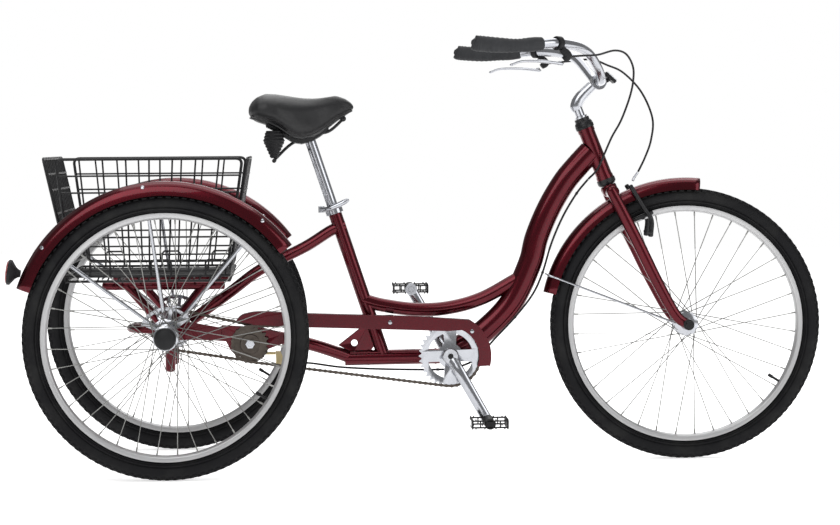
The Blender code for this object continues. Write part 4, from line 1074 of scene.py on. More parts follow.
def make_drive():
    ring_centre = Vector((BRACKET.x, CHAINRING_Y, BRACKET.z))
    windows = []
    for i in range(4):
        middle = math.degrees(math.tau * (i + 0.5) / 4)
        outline = arc_points(BRACKET, 0.0545, middle - 29, middle + 29, 16)
        outline += arc_points(BRACKET, 0.03, middle + 17, middle - 17, 10)
        windows.append(outline)
    windows.append(arc_points(BRACKET, 0.0123, 0, 352, 44))
    ring = sprocket("chainring_disc", ring_centre, CHAINRING_TEETH, CHAINRING_Y, "steel", windows)
    settle(ring, "crankset", "steel", "chainring")
    make_chain("primary_chain", BRACKET, CHAINRING_TEETH, JACKSHAFT, JACKSHAFT_TEETH, CHAINRING_Y)
    make_chain("drive_chain", JACKSHAFT, JACKSHAFT_TEETH, REAR_AXLE, AXLE_TEETH, DRIVE_Y)
    disc = sprocket("freewheel_disc", JACKSHAFT, JACKSHAFT_TEETH, CHAINRING_Y, "chain", [arc_points(
        JACKSHAFT, 0.0068, 0, 345, 23,
    )])
    settle(disc, "freewheel", "chain", "freewheel")
    bm = bmesh.new()
    body = [(0.0068, -0.064), (0.0225, -0.064), (0.024, -0.0625), (0.024, -0.0553), (0.0068, -0.0553)]
    add_ring(bm, body, JACKSHAFT, SIDEWAYS, 40)
    put(bm, "freewheel_body", "chain", "freewheel")
    shaft = bmesh.new()
    add_tube(shaft, [JACKSHAFT - SIDEWAYS * 0.072, JACKSHAFT + SIDEWAYS * 0.018], 0.006, 24, UP)
    drum = mm((6, -12), (32.5, -12), (34, -10.5), (34, 10.5), (32.5, 12), (6, 12))
    add_ring(shaft, drum, JACKSHAFT, SIDEWAYS, 56)
    nut = mm((6.2, -74), (11, -74), (11, -66.5), (6.2, -66.5))
    add_ring(shaft, nut, JACKSHAFT, SIDEWAYS, 6)
    put(shaft, "jackshaft_turned", "steel", "jackshaft", "jackshaft")
    settle(sprocket("jackshaft_sprocket", JACKSHAFT, JACKSHAFT_TEETH, DRIVE_Y, "steel"), "jackshaft", "steel")
    axle = bmesh.new()
    add_tube(axle, [REAR_AXLE - SIDEWAYS * 0.374, REAR_AXLE + SIDEWAYS * 0.374], 0.0075, 28, UP)
    add_ring(axle, mm((7.6, -47), (16, -47), (16, -1), (7.6, -1)), REAR_AXLE, SIDEWAYS, 36)
    put(axle, "rear_axle_shaft", "steel", "rear_axle", "rear_axle")
    settle(sprocket("axle_sprocket", REAR_AXLE, AXLE_TEETH, DRIVE_Y, "steel"), "rear_axle", "steel")


def make_cranks():
    reach = Vector((math.cos(CRANK_TURN), 0, math.sin(CRANK_TURN))) * CRANK_LENGTH
    near = CRANK_FACE
    for name, side in (("right", -1), ("left", 1)):
        tip = BRACKET - reach * side
        bm = bmesh.new()
        path = [
            BRACKET + SIDEWAYS * side * (near + 0.0095),
            BRACKET + (tip - BRACKET) * 0.12 + SIDEWAYS * side * (near + 0.0165),
            BRACKET + (tip - BRACKET) * 0.28 + SIDEWAYS * side * (near + 0.0235),
            BRACKET + (tip - BRACKET) * 0.6 + SIDEWAYS * side * (near + 0.028),
            BRACKET + (tip - BRACKET) * 0.92 + SIDEWAYS * side * (near + 0.0305),
            tip + SIDEWAYS * side * (near + 0.031),
        ]
        add_tube(bm, smooth_path(path, 5), [0.015, 0.0138, 0.013, 0.0125, 0.0128], 24, SIDEWAYS, 0.52)
        boss = mm((6.8, 0), (17.5, 0), (19, 1.5), (19, 16.5), (17, 19), (6.8, 19))
        add_ring(bm, boss, BRACKET + SIDEWAYS * side * near, SIDEWAYS * side, 40)
        eye = [
            (0.0073, 0.0222), (0.0135, 0.0222), (0.0145, 0.0232), (0.0145, 0.0388), (0.0135, 0.0398),
            (0.0073, 0.0398),
        ]
        add_ring(bm, eye, tip + SIDEWAYS * side * near, SIDEWAYS * side, 36)
        add_turned(bm, [
            (0.0118, -0.0095), (0.0118, 0.012),
        ], BRACKET + SIDEWAYS * side * near, SIDEWAYS * side, 32)
        if side > 0:
            add_tube(bm, [BRACKET - SIDEWAYS * 0.069, BRACKET + SIDEWAYS * 0.069], 0.0084, 24, UP)
        put(bm, name + "_crank_arm", "steel", "crankset", name + "_crank")
        cap = bmesh.new()
        add_turned(cap, [
            (0.0066, 0.015), (0.0066, 0.0196), (0.0055, 0.0204), (0.002, 0.0205),
        ], BRACKET + SIDEWAYS * side * near, SIDEWAYS * side, 32)
        put(cap, name + "_crank_cap", "black_plastic", "crankset")
        make_pedal(name, tip, side, near)


def make_pedal(name, tip, side, near):
    """A cage pedal: a spindle, a barrel, two toothed plates, two end walls and two reflectors."""
    start = near + 0.0415
    body = name + "_pedal"
    spindle = bmesh.new()
    shape = [
        (0.0068, near + 0.0225), (0.0068, start - 0.001), (0.0066, start + 0.003), (0.006, start + 0.015),
    ]
    add_turned(spindle, shape, tip, SIDEWAYS * side, 24)
    put(spindle, name + "_pedal_spindle", "steel", body, body)
    cage = bmesh.new()
    barrel = [
        (0.011, start + 0.0015), (0.013, start + 0.004), (0.0118, start + 0.02), (0.0118, start + 0.072),
        (0.013, start + 0.088), (0.0105, start + 0.0915),
    ]
    add_turned(cage, barrel, tip, SIDEWAYS * side, 32)
    low, high = sorted((side * (start + 0.0005), side * (start + 0.0915)))
    for x in (tip.x - 0.0435, tip.x + 0.0395):
        add_box(cage, (x, low, tip.z - 0.009), (x + 0.004, high, tip.z + 0.009))
        for i in range(7):
            y = low + (high - low) * (i + 0.5) / 7
            for way in (-1, 1):
                tooth = [
                    (x + 0.0002, tip.z + way * 0.0085), (x + 0.0038, tip.z + way * 0.0085),
                    (x + 0.0032, tip.z + way * 0.0124), (x + 0.0008, tip.z + way * 0.0124),
                ]
                add_plate(cage, tooth, y - 0.0042, y + 0.0042)
    for y in (low, high - 0.005):
        for z in (-0.0095, 0.006):
            add_box(cage, (tip.x - 0.04, y, tip.z + z), (tip.x + 0.04, y + 0.005, tip.z + z + 0.0035))
        for x in (-0.025, 0.022):
            add_box(cage, (tip.x + x, y, tip.z - 0.008), (tip.x + x + 0.003, y + 0.005, tip.z + 0.008))
        for x in (-0.034, -0.013, 0.013, 0.034):
            for way in (-1, 1):
                pin = tip + Vector((x, 0, way * 0.009))
                pin.y = y + 0.0025
                add_turned(cage, mm((1.6, 0), (1.6, 3), (1, 3.4)), pin, UP * way, 8)
    for x in (tip.x - 0.013, tip.x + 0.0105):
        add_box(cage, (x, low + 0.004, tip.z - 0.0045), (x + 0.0025, high - 0.004, tip.z + 0.0045))
    put(cage, name + "_pedal_cage", "black_plastic", body, edge=0.0006)
    glass = bmesh.new()
    for x in (tip.x - 0.0441, tip.x + 0.0432):
        add_box(
            glass, (x, (low + high) / 2 - 0.024, tip.z - 0.0065),
            (x + 0.0009, (low + high) / 2 + 0.024, tip.z + 0.0065),
        )
    put(glass, name + "_pedal_reflectors", "clear_lens", body, edge=0.0002)


def make_chain_guard():
    outer = smooth_outline(mm(
        (-465, 348), (-456, 359), (-440, 366), (-400, 370), (-289, 364), (-75, 356), (44, 349),
    ))
    outer += arc_points(BRACKET, 0.098, 62, -14, 24)
    inner = arc_points(BRACKET, 0.068, -22, 66, 24)
    inner += mm((40, 319), (-115, 325), (-289, 331), (-420, 338))
    bm = bmesh.new()
    add_plate(bm, outer + inner, -0.077, -0.0754)
    put(bm, "chain_guard_face", "paint", "frame", "chain_guard", edge=0.001, steps=3)
    lip = bmesh.new()
    under = [(x * 0.985 - 0.0009 if x > 0 else x, z - 0.002) for x, z in reversed(outer)]
    add_plate(lip, outer + under, -0.0756, -0.0455)
    put(lip, "chain_guard_lip", "paint", "frame")
    clip = bmesh.new()
    add_box(clip, (-0.108, -0.0755, 0.3537), (-0.088, 0.0025, 0.3552))
    for x, z in ((-0.098, 0.341), (0.098, 0.318)):
        add_screw(clip, place_at(x, z, -0.077), -SIDEWAYS, 0.005, 0.0024)
    put(clip, "chain_guard_clip", "steel", "frame", edge=0.0003)


def smooth_outline(points, steps=6):
    """(x, z) points along a smooth curve through a few."""
    return [(p.x, p.z) for p in smooth_path([place_at(x, z) for x, z in points], steps)]


# Steering


def make_fork():
    bm = bmesh.new()
    add_tube(bm, [CROWN, steer(-0.0005)], 0.0127, 32)
    crown = [CROWN + SIDEWAYS * y for y in (-0.062, -0.059, 0.059, 0.062)]
    add_tube(bm, crown, [0.0118, 0.015, 0.015, 0.0118], 28, UP)
    race = mm((12, -8), (17.5, -6), (19.2, 0), (19.2, 13), (17.5, 15.5), (12, 15.5))
    add_turned(bm, race, steer(-0.0325), STEER_UP, 36)
    for side in (-1, 1):
        route = path_mm(
            (434, 655, side * 56), (461, 603, side * 56), (502, 521, side * 56), (545, 433, side * 56),
            (590, 352, side * 56), (622.5, 325.5, side * 56),
        )
        radii = [0.012, 0.0135, 0.014, 0.0145, 0.0145, 0.0145, 0.014, 0.0135, 0.013, 0.0125, 0.0125]
        add_tube(bm, smooth_path(route, 10), radii, 28, flatten=0.75, rounded=0.5)
    put(bm, "fork_blades", "paint", "steering", "fork")
    upper = bmesh.new()
    add_tube(upper, [HEAD_HIGH + STEER_UP * 0.001, steer(0.16)], 0.0127, 32)
    put(upper, "steerer_top", "steel", "steering")


CLAMP = Vector((0.412, 0, 0.913))
BAR_HALF = path_mm(
    (412, 913, 0), (412, 913, 30), (411, 918, 70), (397, 943, 118), (373, 974, 160), (341, 990, 215),
    (287, 996, 285), (240, 994, 312), (175, 990, 328), (100, 995, 334),
)


def flipped(points):
    return [Vector((p.x, -p.y, p.z)) for p in points]


def make_stem_and_bar():
    bm = bmesh.new()
    add_tube(bm, [steer(0.1605), steer(0.19)], 0.0112, 32)
    add_turned(bm, mm((9.5, 0), (15, 0.5), (15, 4), (10, 5.5)), steer(0.1585), STEER_UP, 36)
    neck = [steer(0.18), place_at(0.358, 0.855), place_at(0.368, 0.876), place_at(0.396, 0.904)]
    add_tube(bm, smooth_path(neck, 8), [0.0125, 0.014, 0.0145, 0.0145, 0.014, 0.013, 0.0125], 28)
    clamp = [
        (0.0128, -0.021), (0.0175, -0.021), (0.0187, -0.0198), (0.0187, 0.0198), (0.0175, 0.021),
        (0.0128, 0.021),
    ]
    add_ring(bm, clamp, CLAMP, SIDEWAYS, 44)
    add_screw(bm, steer(0.205, 0.0, 0.0), STEER_UP, 0.0055, 0.004)
    put(bm, "stem_body", "steel", "steering", "stem")
    bar = bmesh.new()
    add_tube(bar, smooth_path(flipped(BAR_HALF[1:])[::-1] + BAR_HALF, 8), 0.0116, 28, UP)
    put(bar, "bar_tube", "steel", "steering", "handlebar")
    for name, side in SIDES:
        make_grip(name, side)
        make_brake_lever(name, side)
    body = bmesh.new()
    add_plate(body, mm((424, 931), (449, 909), (453.5, 914.5), (429, 936.5)), -0.028, 0.028)
    add_tube(body, path_mm((431, 915), (440.5, 921.5)), 0.005, 16)
    put(body, "front_reflector_body", "black_plastic", "steering", "front_reflector", edge=0.0008)
    glass = bmesh.new()
    add_plate(glass, mm((430.5, 935.5), (452.5, 915.5), (454.5, 917.8), (432.5, 938)), -0.0262, 0.0262)
    put(glass, "front_reflector_glass", "clear_lens", "steering", edge=0.0007)


def make_grip(name, side):
    """A palm-shaped grip with ribs round it and collars at both ends."""
    route = smooth_path([place_at(0.247, 0.9945, 0.3092), *BAR_HALF[-2:], place_at(0.085, 0.998, 0.335)], 22)
    if side < 0:
        route = flipped(route)
    shape = [
        0.0152, 0.0166, 0.0164, 0.015, 0.0154, 0.0166, 0.0174, 0.0178, 0.018, 0.018, 0.0174, 0.0156, 0.0118,
        0.0062,
    ]
    radii = []
    count = len(route)
    for i in range(count):
        share = i / (count - 1)
        ripple = 0.0006 * math.sin(i * math.tau / 3) if 0.16 < share < 0.86 else 0.0
        radii.append(along_list(shape, share) + ripple)
    bm = bmesh.new()
    add_tube(bm, route, radii, 32, UP, rounded=0.35)
    put(bm, name + "_grip_rubber", "grip", "steering", name + "_grip")


def make_brake_lever(name, side):
    along = Vector((-0.728, side * 0.686, 0.02)).normalized()
    middle = place_at(0.287, 0.996, side * 0.285)
    bm = bmesh.new()
    ring = mm((12, -7), (15.5, -7), (16.5, -6), (16.5, 6), (15.5, 7), (12, 7))
    add_ring(bm, ring, middle, along, 36)
    body = path_mm((295, 982.5, side * 284), (310, 968, side * 282), (300, 958, side * 280))
    add_tube(bm, smooth_path(body, 6), [0.0085, 0.0095, 0.0098, 0.0085, 0.0068], 24)
    put(bm, name + "_lever_clamp", "black_plastic", "steering", name + "_lever_bracket")
    pivot = place_at(0.291, 0.949, side * 0.285)
    route = [
        pivot + Vector((0.004, 0, 0.0)), place_at(0.25, 0.954, side * 0.305),
        place_at(0.2, 0.954, side * 0.322), place_at(0.175, 0.946, side * 0.33),
    ]
    blade = bmesh.new()
    add_tube(blade, smooth_path(
        route, 10,
    ), [0.0066, 0.0062, 0.006, 0.0056, 0.0052, 0.005, 0.0054], 24, UP, 0.62, rounded=0.6)
    add_screw(blade, pivot + Vector((0.001, 0, 0.0042)), UP, 0.0042, 0.0026)
    put(blade, name + "_lever_blade", "steel", name + "_brake_lever", name + "_brake_lever")


def make_front_brake():
    for name, side in (("right", -1), ("left", 1)):
        pivot = place_at(0.528, 0.55, side * 0.04)
        route = [
            pivot + Vector((0.004, side * 0.001, -0.008)), pivot + Vector((0.006, -side * 0.001, 0.03)),
            pivot + Vector((-0.012, -side * 0.002, 0.06)), place_at(0.484, 0.662, side * 0.039),
        ]
        bm = bmesh.new()
        add_tube(bm, smooth_path(route, 10), [0.006, 0.0054, 0.005, 0.005], 20, FORWARD, 1.1, rounded=0.5)
        add_screw(bm, pivot + Vector((0.003, side * 0.0048, 0.0)), SIDEWAYS * side, 0.0052, 0.0032)
        inward = (FRONT_AXLE - place_at(pivot.x, pivot.z)).normalized()
        pad = place_at(FRONT_AXLE.x, FRONT_AXLE.z) - inward * 0.28
        across = Vector((inward.z, 0, -inward.x))
        shoe = [pad + across * reach + SIDEWAYS * side * 0.0215 for reach in (-0.03, -0.028, 0.028, 0.03)]
        add_tube(bm, shoe, [0.0036, 0.0048, 0.0048, 0.0036], 16, inward, 1.0)
        add_tube(bm, [pad + SIDEWAYS * side * 0.024, pad + SIDEWAYS * side * 0.047], 0.0032, 14, UP)
        add_turned(bm, [(0.0062, 0.044), (0.0062, 0.049)], pad, SIDEWAYS * side, 6)
        put(bm, name + "_brake_arm_body", "black_metal", name + "_brake_arm", name + "_brake_arm")
    noodle = spots((0.491, 0.6745, -0.029), (0.495, 0.6825, -0.0262), (0.5035, 0.6935, -0.0205))
    sleeve = wires("brake_noodle", [smooth_path(noodle, 8)], 0.0031, "steel", 16)
    settle(sleeve, "steering", "steel")


# Fenders


def fender_sheet(name, centre, radius, start, end, half, drop, steps):
    """A rolled sheet with a raised crown, round a wheel between two angles, with rounded ends."""
    shares = [
        -1.0, -0.965, -0.9, -0.78, -0.62, -0.5, -0.42, -0.2, 0.0, 0.2, 0.42, 0.5, 0.62, 0.78, 0.9, 0.965, 1.0,
    ]
    falls = [1.0, 0.7, 0.46, 0.27, 0.16, 0.12, 0.04, 0.01, 0.0, 0.01, 0.04, 0.12, 0.16, 0.27, 0.46, 0.7, 1.0]
    rings = []
    for i in range(steps + 1):
        share = i / steps
        turn = math.radians(start + (end - start) * share)
        near_end = min(share, 1 - share) * math.radians(end - start) * radius
        narrow = 1.0 if near_end > 0.014 else 0.8 + 0.2 * math.sin(math.acos(max(
            -1, min(1, 1 - near_end / 0.014),
        )))
        outward = Vector((math.cos(turn), 0, math.sin(turn)))
        outer = [(s * half * narrow, -f * drop) for s, f in zip(shares, falls)]
        inner = [(
            s * (half * narrow - 0.0012), -f * drop - (0.0012 if f < 0.9 else 0.0),
        ) for s, f in zip(shares, falls)]
        rings.append([centre + SIDEWAYS * y + outward * (radius + rise) for y, rise in outer + inner[::-1]])
    bm = bmesh.new()
    skin(bm, rings)
    return piece_from(bm, name, "paint", 50)


def make_front_fender():
    made = fender_sheet("front_fender_sheet", FRONT_AXLE, 0.353, 84, 167, 0.03, 0.029, 80)
    settle(made, "steering", "paint", "front_fender")
    runs = []
    for side in (-1, 1):
        low = place_at(0.592, 0.33, side * 0.041)
        runs.append([low, on_wheel(FRONT_AXLE, 0.329, 160.2, side * 0.0334)])
    bow = [on_wheel(FRONT_AXLE, radius, 160.2, y) for y, radius in (
        (-0.033, 0.329), (-0.035, 0.344), (-0.024, 0.357), (0.024, 0.357), (0.035, 0.344), (0.033, 0.329),
    )]
    runs.append(smooth_path(bow, 6))
    stays = wires("front_fender_stay_wires", runs, 0.0023, "steel", 14)
    settle(stays, "steering", "steel", "front_fender_stay")


def make_rear_fenders():
    for name, side in SIDES:
        centre = REAR_AXLE + SIDEWAYS * side * HALF_TRACK
        sheet = fender_sheet(name + "_fender_sheet", centre, 0.358, 36, 161, 0.0315, 0.033, 110)
        settle(sheet, "frame", "paint", name + "_fender")
        inboard = side * 0.2685
        outline = arc_points(REAR_AXLE, 0.066, 36, 157, 28) + arc_points(REAR_AXLE, 0.0265, 157, 36, 16)
        bm = bmesh.new()
        add_plate(bm, outline, inboard - 0.0015, inboard + 0.0015)
        sector = piece_from(bm, name + "_sector", "steel")
        windows = []
        for middle in (66, 97, 128):
            windows.append(arc_points(
                REAR_AXLE, 0.0575, middle - 11, middle + 11, 8,
            ) + arc_points(REAR_AXLE, 0.0395, middle + 9, middle - 9, 6))
        cut_through(sector, windows, inboard - 0.01, inboard + 0.01)
        settle(softened(sector, 0.0005), "frame", "steel", name + "_fender_bracket")
        ring = bmesh.new()
        add_ring(
            ring, mm((9.5, -1.5), (27, -1.5), (27, 1.5), (9.5, 1.5)), REAR_AXLE + SIDEWAYS * inboard,
            SIDEWAYS, 40,
        )
        for degrees in (50, 98, 143):
            foot = on_wheel(REAR_AXLE, 0.056, degrees, inboard + side * 0.003)
            head = on_wheel(REAR_AXLE, 0.342, degrees, side * 0.2935)
            add_tube(ring, [foot, head], 0.0042, 18, rounded=0.4)
            add_screw(
                ring, on_wheel(REAR_AXLE, 0.3385, degrees, side * 0.2982), SIDEWAYS * side, 0.0044, 0.0022,
            )
        put(ring, name + "_fender_stays", "steel", "frame", edge=0.0003)
        domes = bmesh.new()
        for degrees in (50, 98, 143):
            outward = on_wheel(Vector((0, 0, 0)), 1.0, degrees, 0.0)
            place = on_wheel(centre, 0.347, degrees, centre.y + side * 0.0266)
            add_screw(domes, place, (outward * 0.62 + SIDEWAYS * side * 0.78).normalized(), 0.0048, 0.003)
        put(domes, name + "_fender_screws", "steel", "frame")
        tail = on_wheel(centre, 0.359, 155.5, centre.y)
        out = Vector((math.cos(math.radians(172)), 0, math.sin(math.radians(172))))
        cone = bmesh.new()
        profile = mm((8, 2), (9.5, 7), (14, 13), (28, 23.5), (29, 25), (29, 30), (27, 31.2))
        add_turned(cone, profile, tail, out, 48)
        put(cone, name + "_reflector_housing", "black_plastic", "frame", name + "_tail_reflector")
        lens = bmesh.new()
        add_turned(lens, [
            (0.0262, 0.0306), (0.0262, 0.0325), (0.024, 0.0342), (0.012, 0.0345),
        ], tail, out, 48)
        put(lens, name + "_reflector_lens", "red_lens", "frame")


# Saddle and seat post


def make_seat_post():
    base = SEAT_TUBE_HIGH
    clamp = bmesh.new()
    collar = mm((16.6, -21), (20.2, -21), (21, -20), (21, -1), (20.2, 0), (16.6, 0))
    add_ring(clamp, collar, base, SEAT_UP, 40)
    add_box(clamp, (-0.266, -0.009, 0.603), (-0.2512, -0.0012, 0.618))
    add_box(clamp, (-0.266, 0.0012, 0.603), (-0.2512, 0.009, 0.618))
    put(clamp, "seat_clamp_ring", "steel", "frame", "seat_clamp", edge=0.0006)
    handle = bmesh.new()
    add_tube(handle, path_mm((-257, 610.5, -16.5), (-257, 610.5, 12)), 0.0027, 16, UP)
    route = path_mm((-257, 610.5, -16.5), (-240, 613, -28.5), (-215, 623, -31), (-196, 633, -30))
    add_tube(handle, smooth_path(
        route, 8,
    ), [0.006, 0.0058, 0.0055, 0.006, 0.0064, 0.0064, 0.005], 24, rounded=0.6)
    put(handle, "clamp_handle", "steel", "seat_clamp_lever", "seat_clamp_lever")
    post = bmesh.new()
    add_tube(post, [base - SEAT_UP * 0.15, base + SEAT_UP * 0.165], 0.013, 40)
    put(post, "seat_post_tube", "steel", "seat", "seat_post")


def make_saddle_frame():
    top = SEAT_TUBE_HIGH + SEAT_UP * 0.1653
    bm = bmesh.new()
    block = mm((16, 0), (17, 1), (17, 13), (16, 14))
    add_turned(bm, block, top, SEAT_UP, 32)
    cross = top + SEAT_UP * 0.014
    add_turned(bm, mm((10.8, -24), (12, -22.8), (12, 22.8), (10.8, 24)), cross, SIDEWAYS, 32)
    for side in (-1, 1):
        add_turned(bm, mm((10, 23.8), (10, 29), (8, 30)), cross, SIDEWAYS * side, 6)
    for side in (-1, 1):
        rail = [
            place_at(-0.205, 0.827, side * 0.012), place_at(-0.24, 0.798, side * 0.02),
            Vector((top.x + 0.003, side * 0.022, top.z + 0.014)), place_at(-0.33, 0.768, side * 0.034),
            place_at(-0.371, 0.73, side * 0.044),
        ]
        add_tube(bm, smooth_path(rail, 10), 0.0036, 16)
    add_tube(bm, path_mm((-371, 728.5, -80), (-371, 728.5, 80)), 0.005, 18, UP, rounded=0.5)
    add_tube(bm, path_mm((-205, 828, -18), (-205, 828, 18)), 0.007, 18, UP, rounded=0.4)
    put(bm, "saddle_rails", "black_metal", "seat", "saddle_frame")
    for name, side in SIDES:
        foot = place_at(-0.371, 0.7285, side * 0.07)
        profile = [(0.0078, 0.0064)]
        for i in range(61):
            share = i / 60
            radius = 0.0085 + 0.0168 * min(1.0, share / 0.62) - 0.006 * max(0.0, (share - 0.62) / 0.38)
            ripple = 0.0009 * math.sin(i * math.tau / 7.5)
            profile.append((radius + ripple, 0.008 + 0.0625 * share))
        profile.append((0.0165, 0.0716))
        boot = bmesh.new()
        add_turned(boot, profile, foot, UP, 44)
        settle(
            piece_from(boot, name + "_spring_boot", "black_plastic", 60), "seat", "black_plastic",
            name + "_saddle_spring",
        )


PAD_GRID = 0.005
PAD_PRESSURE = 4
COVER_STIFFNESS = 60
SWELL_FRAMES = 20
# Across the saddle, from nose to tail: x, half width, top and bottom
SADDLE_STATIONS = (
    (-0.1765, 0.012, 0.86, 0.848), (-0.185, 0.021, 0.871, 0.842), (-0.2, 0.028, 0.88, 0.832),
    (-0.22, 0.034, 0.884, 0.819), (-0.24, 0.041, 0.881, 0.803), (-0.26, 0.052, 0.878, 0.788),
    (-0.28, 0.067, 0.877, 0.776), (-0.305, 0.086, 0.879, 0.77), (-0.325, 0.1, 0.882, 0.773),
    (-0.345, 0.11, 0.885, 0.785), (-0.365, 0.118, 0.888, 0.799), (-0.39, 0.121, 0.889, 0.811),
    (-0.412, 0.116, 0.882, 0.818), (-0.426, 0.101, 0.868, 0.824), (-0.4335, 0.08, 0.853, 0.831),
)


def saddle_rings(inset, drop):
    rings = []
    for x, half, high, low in SADDLE_STATIONS:
        half, high = half - inset, high - inset
        middle = low + (high - low) * 0.4
        ring = []
        for i in range(36):
            turn = math.tau * i / 36
            across, rise = math.cos(turn), math.sin(turn)
            across = math.copysign(abs(across) ** (0.72 if rise >= 0 else 0.52), across)
            if rise >= 0:
                height = middle + (high - middle) * rise ** 0.62
            else:
                height = middle + (middle - low - drop) * -(abs(rise) ** 0.9)
            groove = 0.0028 * math.exp(-((across / 0.16) ** 2)) if rise > 0.5 and x < -0.28 else 0.0
            ring.append(Vector((x, half * across, height - groove)))
        rings.append(ring)
    return rings


def make_saddle():
    """A padded cover that swells over its foam, a piped seam round it and a pan below."""
    bm = bmesh.new()
    skin(bm, saddle_rings(sizes().pad_softness, 0.006))
    made = piece_from(bm, "saddle_cover", "vinyl", 0)
    remesh = made.modifiers.new("even grid", "REMESH")
    remesh.mode = "VOXEL"
    remesh.voxel_size = PAD_GRID
    baked(made)
    start = [v.co.copy() for v in made.data.vertices]
    cloth = made.modifiers.new("swell", "CLOTH")
    cloth.settings.use_pressure = True
    cloth.settings.uniform_pressure_force = PAD_PRESSURE
    cloth.settings.effector_weights.gravity = 0
    cloth.settings.tension_stiffness = COVER_STIFFNESS
    for step in range(1, SWELL_FRAMES + 1):
        bpy.context.scene.frame_set(step)
    baked(made)
    bpy.context.scene.frame_set(1)
    for vertex, rest in zip(made.data.vertices, start):
        move = vertex.co - rest
        most = sizes().pad_softness
        if move.length > most:
            vertex.co = rest + move.normalized() * most
    for modifier_name, kind in (("even out", "SMOOTH"), ("fine", "SUBSURF")):
        modifier = made.modifiers.new(modifier_name, kind)
        if kind == "SMOOTH":
            modifier.iterations = 6
            modifier.factor = 0.5
        else:
            modifier.levels = 1
            modifier.render_levels = 1
    baked(made)
    made.data.shade_smooth()
    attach(made, "seat")
    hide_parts("saddle_pad")
    seam = []
    for sign in (1, -1):
        edge = []
        for x, half, high, low in SADDLE_STATIONS[1:-1]:
            edge.append(Vector((x, sign * (half - 0.003), low + (high - low) * 0.14)))
        seam.append(edge if sign > 0 else edge[::-1])
    loop = seam[0] + seam[1]
    ring = wires("saddle_piping", [smooth_path(loop + [loop[0]], 6)], 0.0018, "vinyl", 10)
    settle(ring, "seat", "vinyl")
    pan = bmesh.new()
    rings = []
    for x, half, high, low in SADDLE_STATIONS[4:-3]:
        top = low + 0.01
        shape = (
            (0.62, top), (0.3, top), (0.0, top), (-0.3, top), (-0.62, top), (-0.58, low - 0.001),
            (-0.3, low - 0.002), (0.0, low - 0.003), (0.3, low - 0.002), (0.58, low - 0.001),
        )
        rings.append([Vector((x, half * a, z)) for a, z in shape])
    skin(pan, rings)
    put(pan, "saddle_pan", "black_plastic", "seat", edge=0.001)


# Basket


RIM_RADIUS = 0.0035
FLOOR_WIRE = 0.0019
BASKET_HALF = 0.264
GRID_LEVELS = (0.145, 0.3, 0.48, 0.7, 0.85)


def panel_wires(name, body, corners, uprights, levels, hinge_node):
    """A flat wire grid inside four corners: bottom start, bottom end, top end, top start."""
    low_start, low_end, high_end, high_start = corners

    def at(share, level):
        return low_start.lerp(low_end, share).lerp(high_start.lerp(high_end, share), level)

    rim = [at(0, 0), at(1, 0), at(1, 1), at(0, 1)]
    loop = []
    for i, corner in enumerate(rim):
        to_last = (rim[i - 1] - corner).normalized() * 0.016
        to_next = (rim[(i + 1) % 4] - corner).normalized() * 0.016
        for step in range(7):
            t = step / 6
            loop.append(corner + to_last * (1 - t) ** 2 + to_next * t ** 2)
    made = wires(name + "_rim", [loop + loop[:2]], RIM_RADIUS, "black_metal", 14)
    settle(made, body, "black_metal", hinge_node)
    runs = [[at(i / uprights, 0), at(i / uprights, 1)] for i in range(1, uprights)]
    normal = (low_end - low_start).cross(high_start - low_start).normalized()
    runs += [[at(0, level) + normal * 0.0026, at(1, level) + normal * 0.0026] for level in levels]
    grid = wires(name + "_grid", runs, sizes().wire, "black_metal", 8)
    settle(grid, body, "black_metal")


